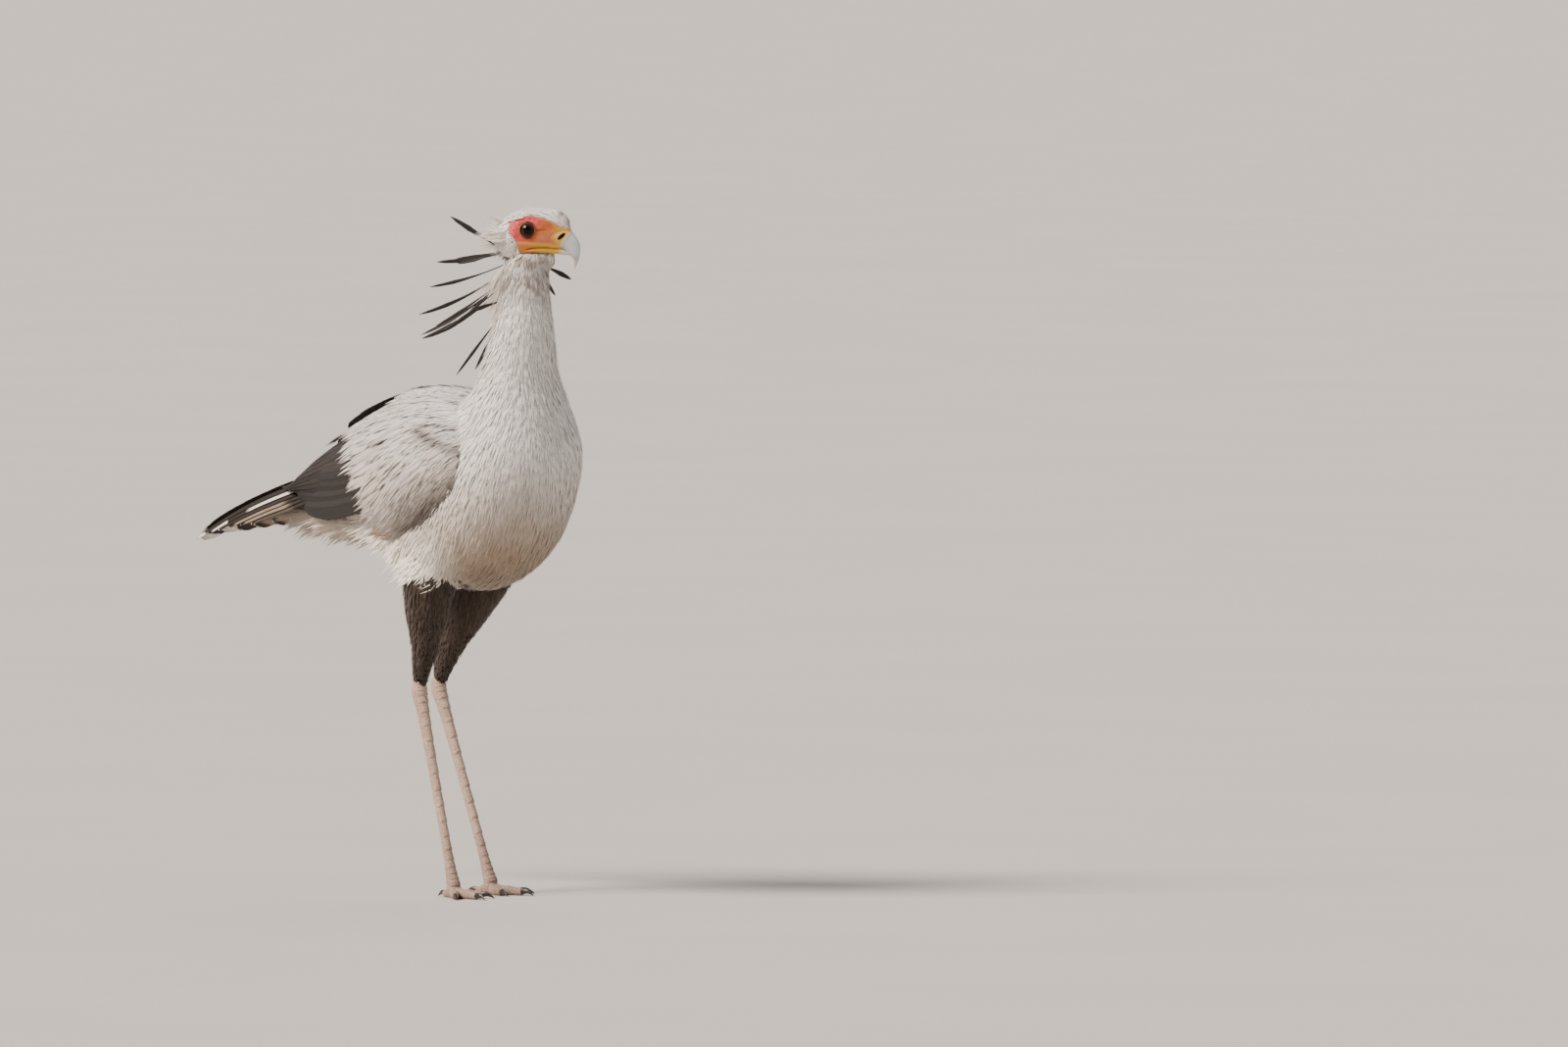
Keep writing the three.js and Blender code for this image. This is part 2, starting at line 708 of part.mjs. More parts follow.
// A toe and its claw lie along the floor, and the plane of the floor flattens their undersides.
function toePath(tag, [, turn, length, root, end]) {
  const foot = FOOT[tag];
  const side = tag === "r" ? -1 : 1;
  const heading = radians(FOOT_YAW[tag] - side * turn);
  const ahead = [Math.cos(heading), Math.sin(heading)];
  const at = (share, z) => [foot[0] + ahead[0] * length * share, foot[1] + ahead[1] * length * share, z];
  return { ahead, path: [at(0.02, 11), at(0.3, root - 0.6), at(0.65, end + 0.1), at(1, end - 0.6)] };
}

function toe(tag, row, grow) {
  const [, , , root, end] = row;
  const knuckle = [root * 0.86, root * 0.86];
  const radii = [[root, root], knuckle, [end + 0.7, end + 0.6], [end * 0.8, end * 0.8]];
  const { path } = toePath(tag, row);
  return limb(path, radii, 4, 8, grow);
}

function claw(tag, row, grow) {
  const { ahead, path } = toePath(tag, row);
  const [x, y] = path[3];
  const at = (along, z) => [x + ahead[0] * along, y + ahead[1] * along, z];
  const line = [at(-4, 5.4), at(4, CLAW.hook), at(13, 5.6), at(CLAW.length, 1)];
  const radii = [[3.6, CLAW.radius], [3.2, 4], [2.1, 2.6], [0.6, 0.7]];
  return limb(line, radii, 4, 6, grow);
}

function footPieces(tag) {
  const onFloor = (solid) => solid.trimByPlane([0, 0, 1], 0);
  const pieces = {};
  const [x, y, z] = FOOT[tag];
  const pad = ball(12.5, [x, y, z - 5.4], 10);
  const shankRoom = shank(tag, GAP);
  let taken = Manifold.union([shankRoom]);
  pieces["foot_" + tag] = wholeOf(onFloor(pad).subtract(taken));
  taken = Manifold.union([taken, ball(12.5 + GAP, [x, y, z - 5.4], 10)]);
  for (const row of TOES) {
    const nail = claw(tag, row, 0);
    pieces["claw_" + row[0] + "_" + tag] = wholeOf(onFloor(nail));
    const made = toe(tag, row, 0).subtract(taken).subtract(claw(tag, row, GAP));
    pieces["toe_" + row[0] + "_" + tag] = wholeOf(onFloor(made));
    taken = Manifold.union([taken, toe(tag, row, GAP)]);
  }
  return pieces;
}

const COLOURS = {
  plumage: [0xd6d1cb, 0.9],
  coverts: [0xb9b3ad, 0.85],
  black: [0x35302f, 0.75],
  face: [0xe0602f, 0.55],
  cere: [0xf0b040, 0.5],
  horn: [0xb9c4cf, 0.35],
  eye: [0x1b120d, 0.08],
  shank: [0xc9ab9c, 0.6],
  claw: [0x2b2725, 0.4],
};
const FINISH = [
  [/^claw/, "claw"],
  [/^(toe|foot|shank)/, "shank"],
  [/^(thigh|tail)/, "black"],
  [/^wing/, "coverts"],
  [/^face/, "face"],
  [/^(cere|bill_lower)/, "cere"],
  [/^bill_upper/, "horn"],
  [/^eye/, "eye"],
  [/./, "plumage"],
];

function materialFor(name) {
  const [, key] = FINISH.find(([pattern]) => pattern.test(name));
  const [color, roughness] = COLOURS[key];
  return new THREE.MeshStandardMaterial({ color, roughness, metalness: 0 });
}

function build() {
  const pieces = {};
  const body = bodySkin(0);
  const behind = [1, 0, 0];
  const neckNormal = vector(NECK_BASE.normal).normalize();
  const neckReach = vector(NECK_BASE.point).dot(neckNormal);
  const up = neckNormal.toArray();
  const down = neckNormal.clone().negate().toArray();

  const head = headPieces();
  const chinRoom = profileSkin(LOWER_BILL, 7, 12, GAP);
  const headRoom = inHead(profileSkin(SKULL, 12, 16, GAP).add(chinRoom));
  for (const [name, solid] of Object.entries(head)) pieces[name] = inHead(solid);
  pieces.head = Manifold.union([pieces.head, ...crest(HEAD_CREST, HEAD_HACKLES)]);

  const trunk = body.trimByPlane(behind, TAIL_ROOT_X + GAP / 2);
  pieces.torso = trunk.trimByPlane(down, GAP / 2 - neckReach);
  const neck = body.trimByPlane(up, neckReach + GAP / 2);
  pieces.neck_lower = neck.trimByPlane([0, 0, -1], GAP / 2 - NECK_MIDDLE_Z);
  const nape = neck.trimByPlane([0, 0, 1], NECK_MIDDLE_Z + GAP / 2);
  const feathered = Manifold.union([nape, ...crest(CREST, HACKLES)]);
  const belowNape = bodySkin(GAP).trimByPlane([0, 0, -1], GAP / 2 - NECK_MIDDLE_Z);
  pieces.neck_upper = wholeOf(feathered.subtract(headRoom).subtract(belowNape));

  const tailRoot = body.trimByPlane([-1, 0, 0], GAP / 2 - TAIL_ROOT_X);
  const bodyRoom = bodySkin(GAP);
  const trunkRoom = bodyRoom.trimByPlane(behind, TAIL_ROOT_X);
  pieces.tail = wholeOf(tail(tailRoot).subtract(trunkRoom));
  for (const [side, tag] of SIDES) {
    pieces["wing_" + tag] = wing(side, bodyRoom);
    const shankRoom = shank(tag, GAP);
    pieces["thigh_" + tag] = wholeOf(thigh(tag, 0).subtract(bodyRoom).subtract(shankRoom));
    pieces["shank_" + tag] = shank(tag, 0);
    Object.assign(pieces, footPieces(tag));
  }
  return pieces;
}

const bird = new THREE.Group();
for (const [name, solid] of Object.entries(build())) {
  const mesh = new THREE.Mesh(geometryOf(solid), materialFor(name));
  mesh.name = name;
  bird.add(mesh);
}
const box = new THREE.Box3().setFromObject(bird);
const middle = box.getCenter(new THREE.Vector3());
bird.position.set(-middle.x, -middle.y, -box.min.z);

export default bird;
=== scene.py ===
import math

import bpy
import numpy as np
from mathutils import Matrix, Vector
from mathutils.bvhtree import BVHTree


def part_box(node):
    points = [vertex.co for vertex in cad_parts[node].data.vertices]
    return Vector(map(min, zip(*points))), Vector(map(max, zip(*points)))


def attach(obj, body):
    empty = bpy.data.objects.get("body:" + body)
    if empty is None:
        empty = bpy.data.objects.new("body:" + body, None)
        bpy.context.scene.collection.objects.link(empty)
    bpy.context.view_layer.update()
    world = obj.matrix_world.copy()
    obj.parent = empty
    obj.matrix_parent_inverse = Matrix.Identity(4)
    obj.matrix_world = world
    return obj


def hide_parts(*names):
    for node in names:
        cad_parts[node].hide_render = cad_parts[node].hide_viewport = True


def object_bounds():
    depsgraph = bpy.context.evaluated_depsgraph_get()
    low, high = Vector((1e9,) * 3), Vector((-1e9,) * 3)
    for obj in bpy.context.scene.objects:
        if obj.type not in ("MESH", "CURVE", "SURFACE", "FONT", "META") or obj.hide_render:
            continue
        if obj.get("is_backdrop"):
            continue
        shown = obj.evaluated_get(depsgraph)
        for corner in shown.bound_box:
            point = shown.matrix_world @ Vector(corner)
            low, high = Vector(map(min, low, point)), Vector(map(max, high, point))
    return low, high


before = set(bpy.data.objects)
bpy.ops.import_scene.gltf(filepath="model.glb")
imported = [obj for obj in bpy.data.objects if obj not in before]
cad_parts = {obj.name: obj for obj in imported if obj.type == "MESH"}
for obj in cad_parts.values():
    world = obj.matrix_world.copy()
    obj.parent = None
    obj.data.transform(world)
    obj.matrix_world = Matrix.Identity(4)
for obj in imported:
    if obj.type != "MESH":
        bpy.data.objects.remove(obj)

cad_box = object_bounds()

# The place of the bird in the room. It is drawn in metres about a point between its feet, with x ahead
# of the body, y to its left and z up, and its right eye in model.glb shows where that drawing has been put.
EYE_DRAWN = Vector((0.14604, -0.00797, 1.017))
eye_low, eye_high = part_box("eye_r")
PLACE = (eye_low + eye_high) / 2 - EYE_DRAWN

# Camera, level with the bird's back and well away from it, as a long lens sees an animal in open country.
# It looks from the right and ahead at the point that lies in the middle of the picture.
PICTURE = (1600, 1068)
FEET_IN_PICTURE = (475, 913.5)
METRES_PER_PIXEL = 0.001494
CAMERA_AWAY = 26
CAMERA_TURN = math.radians(45)
CAMERA_RISE = math.radians(2.4)
picture_right = Vector((math.cos(CAMERA_TURN), math.sin(CAMERA_TURN), 0))
to_camera = Vector((
    math.sin(CAMERA_TURN) * math.cos(CAMERA_RISE),
    -math.cos(CAMERA_TURN) * math.cos(CAMERA_RISE),
    math.sin(CAMERA_RISE),
))
picture_up = to_camera.cross(picture_right)
right_of_feet = (PICTURE[0] / 2 - FEET_IN_PICTURE[0]) * METRES_PER_PIXEL
above_feet = (FEET_IN_PICTURE[1] - PICTURE[1] / 2) * METRES_PER_PIXEL
aim = PLACE + picture_right * right_of_feet + picture_up * above_feet
bpy.ops.object.camera_add(location=aim + to_camera * CAMERA_AWAY)
camera = bpy.context.object
camera.rotation_euler = to_camera.to_track_quat("Z", "Y").to_euler()
camera.data.sensor_width = 36
camera.data.lens = camera.data.sensor_width * CAMERA_AWAY / (PICTURE[0] * METRES_PER_PIXEL)
bpy.context.scene.camera = camera


class Wire:
    """A value in a shader. Sums written with it add their Math nodes."""

    def __init__(self, finish, socket):
        self.finish = finish
        self.socket = socket

    def maths(self, operation, *others):
        return self.finish.put("Math", {"operation": operation}, self, *others)

    def __add__(self, other):
        return self.maths("ADD", other)

    def __mul__(self, other):
        return self.maths("MULTIPLY", other)

    def __sub__(self, other):
        return self.maths("SUBTRACT", other)

    def __rsub__(self, other):
        return self.finish.put("Math", {"operation": "SUBTRACT"}, other, self)

    def __pow__(self, other):
        return self.maths("POWER", other)

    def __abs__(self):
        return self.maths("ABSOLUTE")

    __radd__ = __add__
    __rmul__ = __mul__

    def step(self, low, high):
        """Rises smoothly from 0 at low to 1 at high."""
        settings = {"interpolation_type": "SMOOTHSTEP"}
        if high > low:
            return self.finish.put("MapRange", settings, self, low, high, 0.0, 1.0)
        return self.finish.put("MapRange", settings, self, high, low, 1.0, 0.0)


def tint(code):
    """The linear colour of a hexadecimal colour code."""
    parts = [int(code[i:i + 2], 16) / 255 for i in (0, 2, 4)]
    return [p / 12.92 if p < 0.04045 else ((p + 0.055) / 1.055) ** 2.4 for p in parts] + [1]


class Finish:
    """A material, with a short way to add and join the nodes of its shader."""

    def __init__(self, name, **sockets):
        self.material = bpy.data.materials.new(name)
        self.material.use_nodes = True
        self.nodes = self.material.node_tree.nodes
        self.shader = self.nodes["Principled BSDF"]
        for key, value in sockets.items():
            self.shader.inputs[key.replace("_", " ")].default_value = value

    def feed(self, socket, value):
        if isinstance(value, Wire):
            self.material.node_tree.links.new(value.socket, socket)
        else:
            socket.default_value = value

    def put(self, kind, settings, *values, out=0, **named):
        node = self.nodes.new("ShaderNode" + kind)
        for key, value in settings.items():
            setattr(node, key, value)
        for i, value in enumerate(values):
            self.feed(node.inputs[i], value)
        for key, value in named.items():
            self.feed(node.inputs[key], value)
        return Wire(self, node.outputs[out])

    def mix(self, factor, first, second, blend="MIX"):
        node = self.nodes.new("ShaderNodeMix")
        node.data_type = "RGBA"
        node.blend_type = blend
        for i, value in ((0, factor), (6, first), (7, second)):
            self.feed(node.inputs[i], tint(value) if isinstance(value, str) else value)
        return Wire(self, node.outputs[2])

    def noise(self, vector, scale, detail=2.0, roughness=0.5):
        return self.put("TexNoise", {}, Vector=vector, Scale=scale, Detail=detail, Roughness=roughness)

    def drawn(self, place=(0, 0, 0), turn=0.0, scale=(1, 1, 1)):
        """Object coordinates as seen from a turned and scaled point of the drawing."""
        mapping = self.nodes.new("ShaderNodeMapping")
        mapping.vector_type = "TEXTURE"
        coordinates = self.put("TexCoord", {}, out=3)
        for key, value in (
            ("Vector", coordinates),
            ("Location", PLACE + Vector(place)),
            ("Rotation", (0, 0, turn)),
            ("Scale", scale),
        ):
            self.feed(mapping.inputs[key], value)
        return Wire(self, mapping.outputs[0])

    def parts(self, vector):
        """The three parts of a vector or colour."""
        node = self.nodes.new("ShaderNodeSeparateXYZ")
        self.feed(node.inputs[0], vector)
        return [Wire(self, output) for output in node.outputs]

    def layer(self, name):
        """The three parts of what the points of a mesh carry under a name."""
        return self.parts(self.put("Attribute", {"attribute_name": name}))

    def paint(self, colour):
        self.feed(self.shader.inputs["Base Color"], colour)

    def bump(self, height, distance, strength=1.0):
        bump = self.put("Bump", {}, Strength=strength, Distance=distance, Height=height)
        self.feed(self.shader.inputs["Normal"], bump)

    def wear(self, piece):
        piece.data.materials.clear()
        piece.data.materials.append(self.material)


# Floor: a wide plain pale surface, lightly mottled like painted board.
FLOOR_RADIUS = 400
bpy.ops.mesh.primitive_circle_add(vertices=96, radius=FLOOR_RADIUS, fill_type="NGON")
floor = bpy.context.object
floor.name = "floor"
camera.data.clip_end = 2 * FLOOR_RADIUS
floor.location.z = cad_box[0][2]
board = Finish("pale board", Roughness=0.9, Specular_IOR_Level=0.2)
board_grain = board.noise(board.put("TexCoord", {}, out=3), 1.4, 4.0)
board.paint(board.mix(board_grain, "b4b0aa", "bbb7b1"))
board.wear(floor)
floor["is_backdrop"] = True

# Light: a bright pale room all round, a broad soft light high to the left of the camera, a weaker one to
# its right, and one behind that lifts the back and the crest. Each is as wide as a lit screen.
SKY_STRENGTH = 0.34
LAMPS = [
    ("key", (-66, 44), 24, 7.2, "fff3e8"),
    ("fill", (55, 30), 60, 0.4, "eef3ff"),
    ("rim", (170, 50), 40, 0.8, "ffffff"),
]
world = bpy.data.worlds.new("studio")
world.use_nodes = True
world.node_tree.nodes["Background"].inputs["Color"].default_value = tint("f2f2f2")
world.node_tree.nodes["Background"].inputs["Strength"].default_value = SKY_STRENGTH
bpy.context.scene.world = world
for name, (turn, rise), broad, strength, colour in LAMPS:
    heading = CAMERA_TURN - math.pi / 2 + math.radians(turn)
    rise = math.radians(rise)
    aside = Vector((math.cos(heading) * math.cos(rise), math.sin(heading) * math.cos(rise), math.sin(rise)))
    bpy.ops.object.light_add(type="SUN", location=PLACE + aside * 5)
    lamp = bpy.context.object
    lamp.name = name
    lamp.rotation_euler = aside.to_track_quat("Z", "Y").to_euler()
    lamp.data.angle = math.radians(broad)
    lamp.data.energy = strength
    lamp.data.color = tint(colour)[:3]

# Skin of the trunk, neck, flanks, throat and thighs: the bare form under the plumage, one closed surface.
# It lies inside the bird's outline by the depth of its coat. Each row of the trunk is a section: back edge
# x and z, breast edge x and z, half width, and where between them it is widest.
BODY = [
    (-0.342, 0.612, -0.342, 0.572, 0.012, 0.5),
    (-0.300, 0.630, -0.296, 0.556, 0.026, 0.5),
    (-0.248, 0.652, -0.242, 0.548, 0.044, 0.5),
    (-0.190, 0.694, -0.184, 0.534, 0.068, 0.5),
    (-0.120, 0.726, -0.106, 0.508, 0.090, 0.52),
    (-0.062, 0.746, -0.022, 0.474, 0.106, 0.54),
    (-0.018, 0.757, 0.062, 0.467, 0.114, 0.55),
    (0.020, 0.764, 0.138, 0.508, 0.114, 0.54),
    (0.042, 0.772, 0.186, 0.580, 0.108, 0.52),
    (0.056, 0.784, 0.208, 0.655, 0.096, 0.52),
    (0.064, 0.802, 0.194, 0.728, 0.078, 0.52),
    (0.070, 0.830, 0.177, 0.790, 0.062, 0.5),
    (0.076, 0.864, 0.177, 0.852, 0.051, 0.5),
    (0.085, 0.900, 0.175, 0.900, 0.043, 0.5),
    (0.091, 0.945, 0.172, 0.945, 0.038, 0.5),
    (0.098, 0.963, 0.166, 0.963, 0.0350, 0.5),
    (0.112, 0.982, 0.152, 0.982, 0.021, 0.5),
]
FLANK = {"at": (0, 0.060, 0.568), "radii": (0.095, 0.048, 0.086)}
THROAT = {"at": (0.147, 0.0175, 0.971), "radii": (0.0175, 0.0160, 0.0165)}
THIGH = {
    "r": [
        (0.008, -0.058, 0.560, 0.048, 0.038),
        (-0.014, -0.058, 0.500, 0.048, 0.037),
        (-0.027, -0.055, 0.440, 0.036, 0.030),
        (-0.034, -0.052, 0.385, 0.024, 0.020),
        (-0.044, -0.050, 0.345, 0.017, 0.014),
        (-0.049, -0.049, 0.318, 0.012, 0.0105),
    ],
    "l": [
        (0.018, 0.058, 0.560, 0.046, 0.036),
        (-0.008, 0.057, 0.500, 0.046, 0.035),
        (-0.046, 0.053, 0.440, 0.036, 0.029),
        (-0.080, 0.050, 0.385, 0.025, 0.020),
        (-0.098, 0.048, 0.345, 0.018, 0.014),
        (-0.105, 0.047, 0.318, 0.012, 0.0105),
    ],
}
SIDES = (("r", -1), ("l", 1))
BODY_COAT = 0.0065
THIGH_COAT = 0.003
SKIN_VOXEL = 0.005


def flow(rows, share):
    """Every column of a table at a share of its length, on a smooth curve through the rows."""
    rows = np.asarray(rows, float)
    last = len(rows) - 1
    place = np.clip(share, 0, 1) * last
    i = np.minimum(place.astype(int), last - 1)
    f = (place - i)[..., None]
    row = lambda k: rows[np.clip(k, 0, last)]
    a, b = row(i), row(i + 1)
    leave, arrive = (b - row(i - 1)) / 2, (row(i + 2) - a) / 2
    cubic = 2 * (a - b) + leave + arrive
    return ((cubic * f + 3 * (b - a) - 2 * leave - arrive) * f + leave) * f + a


def mix(a, b, share):
    return a + (b - a) * share


def unit(vectors):
    return vectors / np.maximum(np.linalg.norm(vectors, axis=-1, keepdims=True), 1e-12)


def points_of(piece):
    points = np.empty(len(piece.data.vertices) * 3)
    piece.data.vertices.foreach_get("co", points)
    return points.reshape(-1, 3)


def set_points(piece, points):
    piece.data.vertices.foreach_set("co", np.asarray(points, float).ravel())
    piece.data.update()


def only(*pieces):
    """Selects these pieces alone, the first of them active."""
    bpy.ops.object.select_all(action="DESELECT")
    for piece in pieces:
        piece.select_set(True)
    bpy.context.view_layer.objects.active = pieces[0]


def edit(piece, *steps):
    """Runs edit mode steps on all of a piece."""
    only(piece)
    bpy.ops.object.mode_set(mode="EDIT")
    bpy.ops.mesh.select_all(action="SELECT")
    for step in steps:
        step()
    bpy.ops.object.mode_set(mode="OBJECT")


def modify(piece, kind, **settings):
    """Adds a modifier and applies it."""
    modifier = piece.modifiers.new(kind.lower(), kind)
    for key, value in settings.items():
        setattr(modifier, key, value)
    only(piece)
    bpy.ops.object.modifier_apply(modifier=modifier.name)


def outwards():
    bpy.ops.mesh.normals_make_consistent(inside=False)


def swell(name, section, sides, stations):
    """A ball drawn out: section(share along, angle round, 0 at the poles or 1) places its points. It is
    built ring by ring, so its points and faces come in the same order each time."""
    turns = math.pi / 2 + 2 * math.pi * np.arange(sides) / sides
    along = np.concatenate([[0], np.repeat(np.arange(1, stations) / stations, sides), [1]])
    angle = np.concatenate([[0], np.tile(turns, stations - 1), [0]])
    rim = np.where((along > 0) & (along < 1), 1.0, 0.0)
    ring = 1 + np.arange((stations - 1) * sides).reshape(stations - 1, sides)
    after = np.roll(ring, -1, 1)
    last = len(along) - 1
    faces = [(0, b, a) for a, b in zip(ring[0].tolist(), after[0].tolist())]
    quads = np.stack([ring[:-1], after[:-1], after[1:], ring[1:]], -1)
    faces += quads.reshape(-1, 4).tolist()
    faces += [(last, a, b) for a, b in zip(ring[-1].tolist(), after[-1].tolist())]
    mesh = bpy.data.meshes.new(name)
    mesh.from_pydata(section(along, angle, rim).tolist(), [], faces)
    piece = bpy.data.objects.new(name, mesh)
    bpy.context.scene.collection.objects.link(piece)
    edit(piece, outwards)
    bpy.ops.object.shade_smooth()
    return piece


def profile(rows, grow=0.0):
    """Sections of a profile table: ovals in step from its back edge to its breast edge."""
    def section(along, angle, rim):
        bx, bz, vx, vz, half, widest = flow(rows, along).T
        depth = np.hypot(vx - bx, vz - bz)
        down = np.stack([(vx - bx) / depth, (vz - bz) / depth])
        middle = np.stack([bx, bz]) + down * depth * widest
        c = np.cos(angle)
        reach = np.maximum(np.where(c > 0, depth * widest, depth * (1 - widest)) + grow, 0.001)
        x, z = middle - down * c * reach * rim
        return np.stack([x, np.sin(angle) * np.maximum(half + grow, 0.001) * rim, z], 1)
    return section


def limb(rows, over=(0, 0, 1), grow=0.0):
    """Sections of a limb table: x, y, z, half width and half height, upright to its own line."""
    def section(along, angle, rim):
        here = flow(rows, along)
        ahead = unit(flow(rows, along + 0.02)[:, :3] - flow(rows, along - 0.02)[:, :3])
        across = unit(np.cross(over, ahead))
        high = np.cross(ahead, across)
        wide = (np.sin(angle) * (here[:, 3] + grow) * rim)[:, None]
        tall = (np.cos(angle) * (here[:, 4] + grow) * rim)[:, None]
        return here[:, :3] + across * wide + high * tall
    return section


def settle(piece, slot, *nodes):
    """Moves a finished piece from the drawing to its place and hides the parts of model.glb that it stands
    in for. The slot it is given is not used.
    """
    piece.data.transform(Matrix.Translation(PLACE))
    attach(piece, "root")
    if nodes:
        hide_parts(*nodes)


def oval(at, radii):
    def section(along, angle, rim):
        level = -np.cos(along * math.pi)
        out = np.sin(along * math.pi)
        ball = np.stack([out * np.cos(angle), out * np.sin(angle), level], 1)
        return np.array(at) + ball * np.array(radii)
    return section


skin = swell("skin", profile(BODY, -BODY_COAT), 64, 120)
parts = [skin]
for tag, side in SIDES:
    x, y, z = FLANK["at"]
    radii = [r - BODY_COAT for r in FLANK["radii"]]
    parts.append(swell("flank", oval((x, side * y, z), radii), 32, 24))
    parts.append(swell("thigh", limb(THIGH[tag], (0, -1, 0), -THIGH_COAT), 32, 40))
parts.append(swell("throat", oval(THROAT["at"], THROAT["radii"]), 32, 24))
only(*parts)
bpy.ops.object.join()
modify(skin, "REMESH", mode="VOXEL", voxel_size=SKIN_VOXEL, use_smooth_shade=True)
modify(skin, "SMOOTH", factor=0.5, iterations=6)

skin_finish = Finish("skin under the plumage", Roughness=0.85, Specular_IOR_Level=0.2)
height = skin_finish.parts(skin_finish.drawn())[2]
skin_shade = skin_finish.noise(skin_finish.drawn(), 160.0, 3.0)
pale_skin = skin_finish.mix(skin_shade, "c9bfb6", "e2dad2")
dark_skin = skin_finish.mix(skin_shade, "1c1715", "2c2521")
skin_finish.paint(skin_finish.mix(height.step(0.505, 0.485), pale_skin, dark_skin))
skin_finish.bump(skin_shade, 0.001)
skin_finish.wear(skin)
skin_tree = BVHTree.FromObject(skin, bpy.context.evaluated_depsgraph_get())
settle(skin, "breast plumage", "torso", "neck_lower", "neck_upper", "thigh_r", "thigh_l")

# Head skin: the skull's form with the bare face modelled in it, made in the head's own frame with x
# towards the bill and its origin between the eyes. Rows are the top and bottom edges of the profile.
HEAD_AT = (0.134, 0.008, 1.017)
HEAD_TURN = math.radians(37)
SKULL = [
    (-0.050, -0.002, -0.048, -0.020, 0.009, 0.5),
    (-0.045, 0.010, -0.042, -0.034, 0.019, 0.5),
    (-0.032, 0.022, -0.030, -0.043, 0.026, 0.5),
    (-0.014, 0.031, -0.014, -0.045, 0.0285, 0.48),
    (0.006, 0.034, 0.004, -0.043, 0.028, 0.46),
    (0.024, 0.033, 0.022, -0.039, 0.0245, 0.46),
    (0.040, 0.031, 0.038, -0.036, 0.0185, 0.46),
    (0.052, 0.026, 0.050, -0.032, 0.0125, 0.48),
    (0.059, 0.018, 0.057, -0.027, 0.009, 0.5),
    (0.062, 0.008, 0.061, -0.018, 0.005, 0.5),
]
HEAD_COAT = 0.0022
# Edge of the bare face seen from the side, from behind the eye over the brow and back under the gape.
FACE = np.array([
    (-0.0295, 0.002), (-0.0275, 0.011), (-0.021, 0.018), (-0.011, 0.021), (0.005, 0.0218), (0.018, 0.0192),
    (0.034, 0.0125), (0.050, 0.0050), (0.062, 0.001), (0.070, -0.014), (0.070, -0.040), (0.024, -0.040),
    (0.004, -0.037), (-0.015, -0.033), (-0.017, -0.018), (-0.024, -0.008),
])
# Folds and hollows of the face: x and z of the middle, reach along and across, turn, height.
FOLDS = [
    (-0.004, 0.0185, 0.017, 0.0030, 0.05, 0.0022),
    (0.020, 0.0140, 0.014, 0.0030, -0.42, 0.0022),
    (0.000, 0.0000, 0.0125, 0.0125, 0.0, -0.0030),
    (0.027, 0.0020, 0.010, 0.0050, -0.1, -0.0018),
    (0.022, 0.0000, 0.009, 0.0008, 0.06, -0.0011),
    (0.024, 0.0055, 0.008, 0.0008, -0.35, -0.0008),
    (0.016, -0.0150, 0.013, 0.0045, 0.0, 0.0012),
    (0.018, -0.0205, 0.024, 0.0014, 0.0, 0.0012),
    (-0.019, -0.0050, 0.0045, 0.014, 0.1, 0.0010),
]
# Line of the mouth, seen from the side: x and z.
MOUTH = np.array([
    (-0.0085, -0.0290), (0.002, -0.0258), (0.0096, -0.0232), (0.027, -0.0238), (0.0414, -0.0262),
    (0.052, -0.0300), (0.0645, -0.0330),
])
# Nostril: the two ends of its slit, the size of the cut, and the half sizes of the oval of painted shade
# round it.
NOSTRIL = {
    "from": (0.0458, -0.0136), "to": (0.0548, -0.0054), "wide": 0.0044, "deep": 0.008, "side": 0.0150,
    "half_long": 0.0074, "half_high": 0.0029,
}
# Colour of the painted shade inside the nostril.
NOSTRIL_SHADE = "0e0704"
head_matrix = Matrix.Translation(HEAD_AT) @ Matrix.Rotation(HEAD_TURN, 4, "Z")
HEAD_AXES = np.array(head_matrix.to_3x3())


def turn_head(piece):
    piece.data.transform(head_matrix)
    return piece


def inside(points, outline):
    """Which points lie inside a closed outline."""
    x, z = points[:, 0], points[:, 1]
    crossed = np.zeros(len(points), bool)
    for (ax, az), (bx, bz) in zip(outline, np.roll(outline, -1, 0)):
        spans = (az > z) != (bz > z)
        crossed ^= spans & (x < (bx - ax) * (z - az) / (bz - az + 1e-12) + ax)
    return crossed


def edge_distance(points, outline):
    """How far points lie inside a closed outline, or outside it where negative."""
    starts, steps = outline, np.roll(outline, -1, 0) - outline
    share = np.sum((points[:, None] - starts) * steps, 2) / np.sum(steps ** 2, 1)
    nearest = starts + steps * np.clip(share, 0, 1)[..., None]
    away = np.linalg.norm(points[:, None] - nearest, axis=2).min(1)
    return np.where(inside(points, outline), away, -away)


def fold(points):
    """How far the face stands out or in at points of the head."""
    x, side, z = points.T
    height = np.zeros(len(points))
    for fx, fz, long, broad, turn, rise in FOLDS:
        along = (x - fx) * math.cos(turn) + (z - fz) * math.sin(turn)
        across = (z - fz) * math.cos(turn) - (x - fx) * math.sin(turn)
        height += rise * np.exp(-((along / long) ** 2 + (across / broad) ** 2) * 1.4)
    from_eye = np.hypot(x, z)
    ripple = np.sin(from_eye * 2400 + 1.6 * np.sin(np.arctan2(z, x) * 5))
    height += 0.00022 * ripple * np.exp(-((from_eye - 0.0175) / 0.0045) ** 2)
    return height * np.clip((np.abs(side) - 0.006) / 0.008, 0, 1)


def nostril_shade(finish, x, z):
    """Share of painted shade inside the long oval of the nostril, seen from the side."""
    (fx, fz), (tx, tz) = NOSTRIL["from"], NOSTRIL["to"]
    slant = math.atan2(tz - fz, tx - fx)
    past_x = x - (fx + tx) / 2
    past_z = z - (fz + tz) / 2
    along = (past_x * math.cos(slant) + past_z * math.sin(slant)) * (1 / NOSTRIL["half_long"])
    across = (past_z * math.cos(slant) - past_x * math.sin(slant)) * (1 / NOSTRIL["half_high"])
    return ((along * along + across * across) ** 0.5).step(1.1, 0.9)


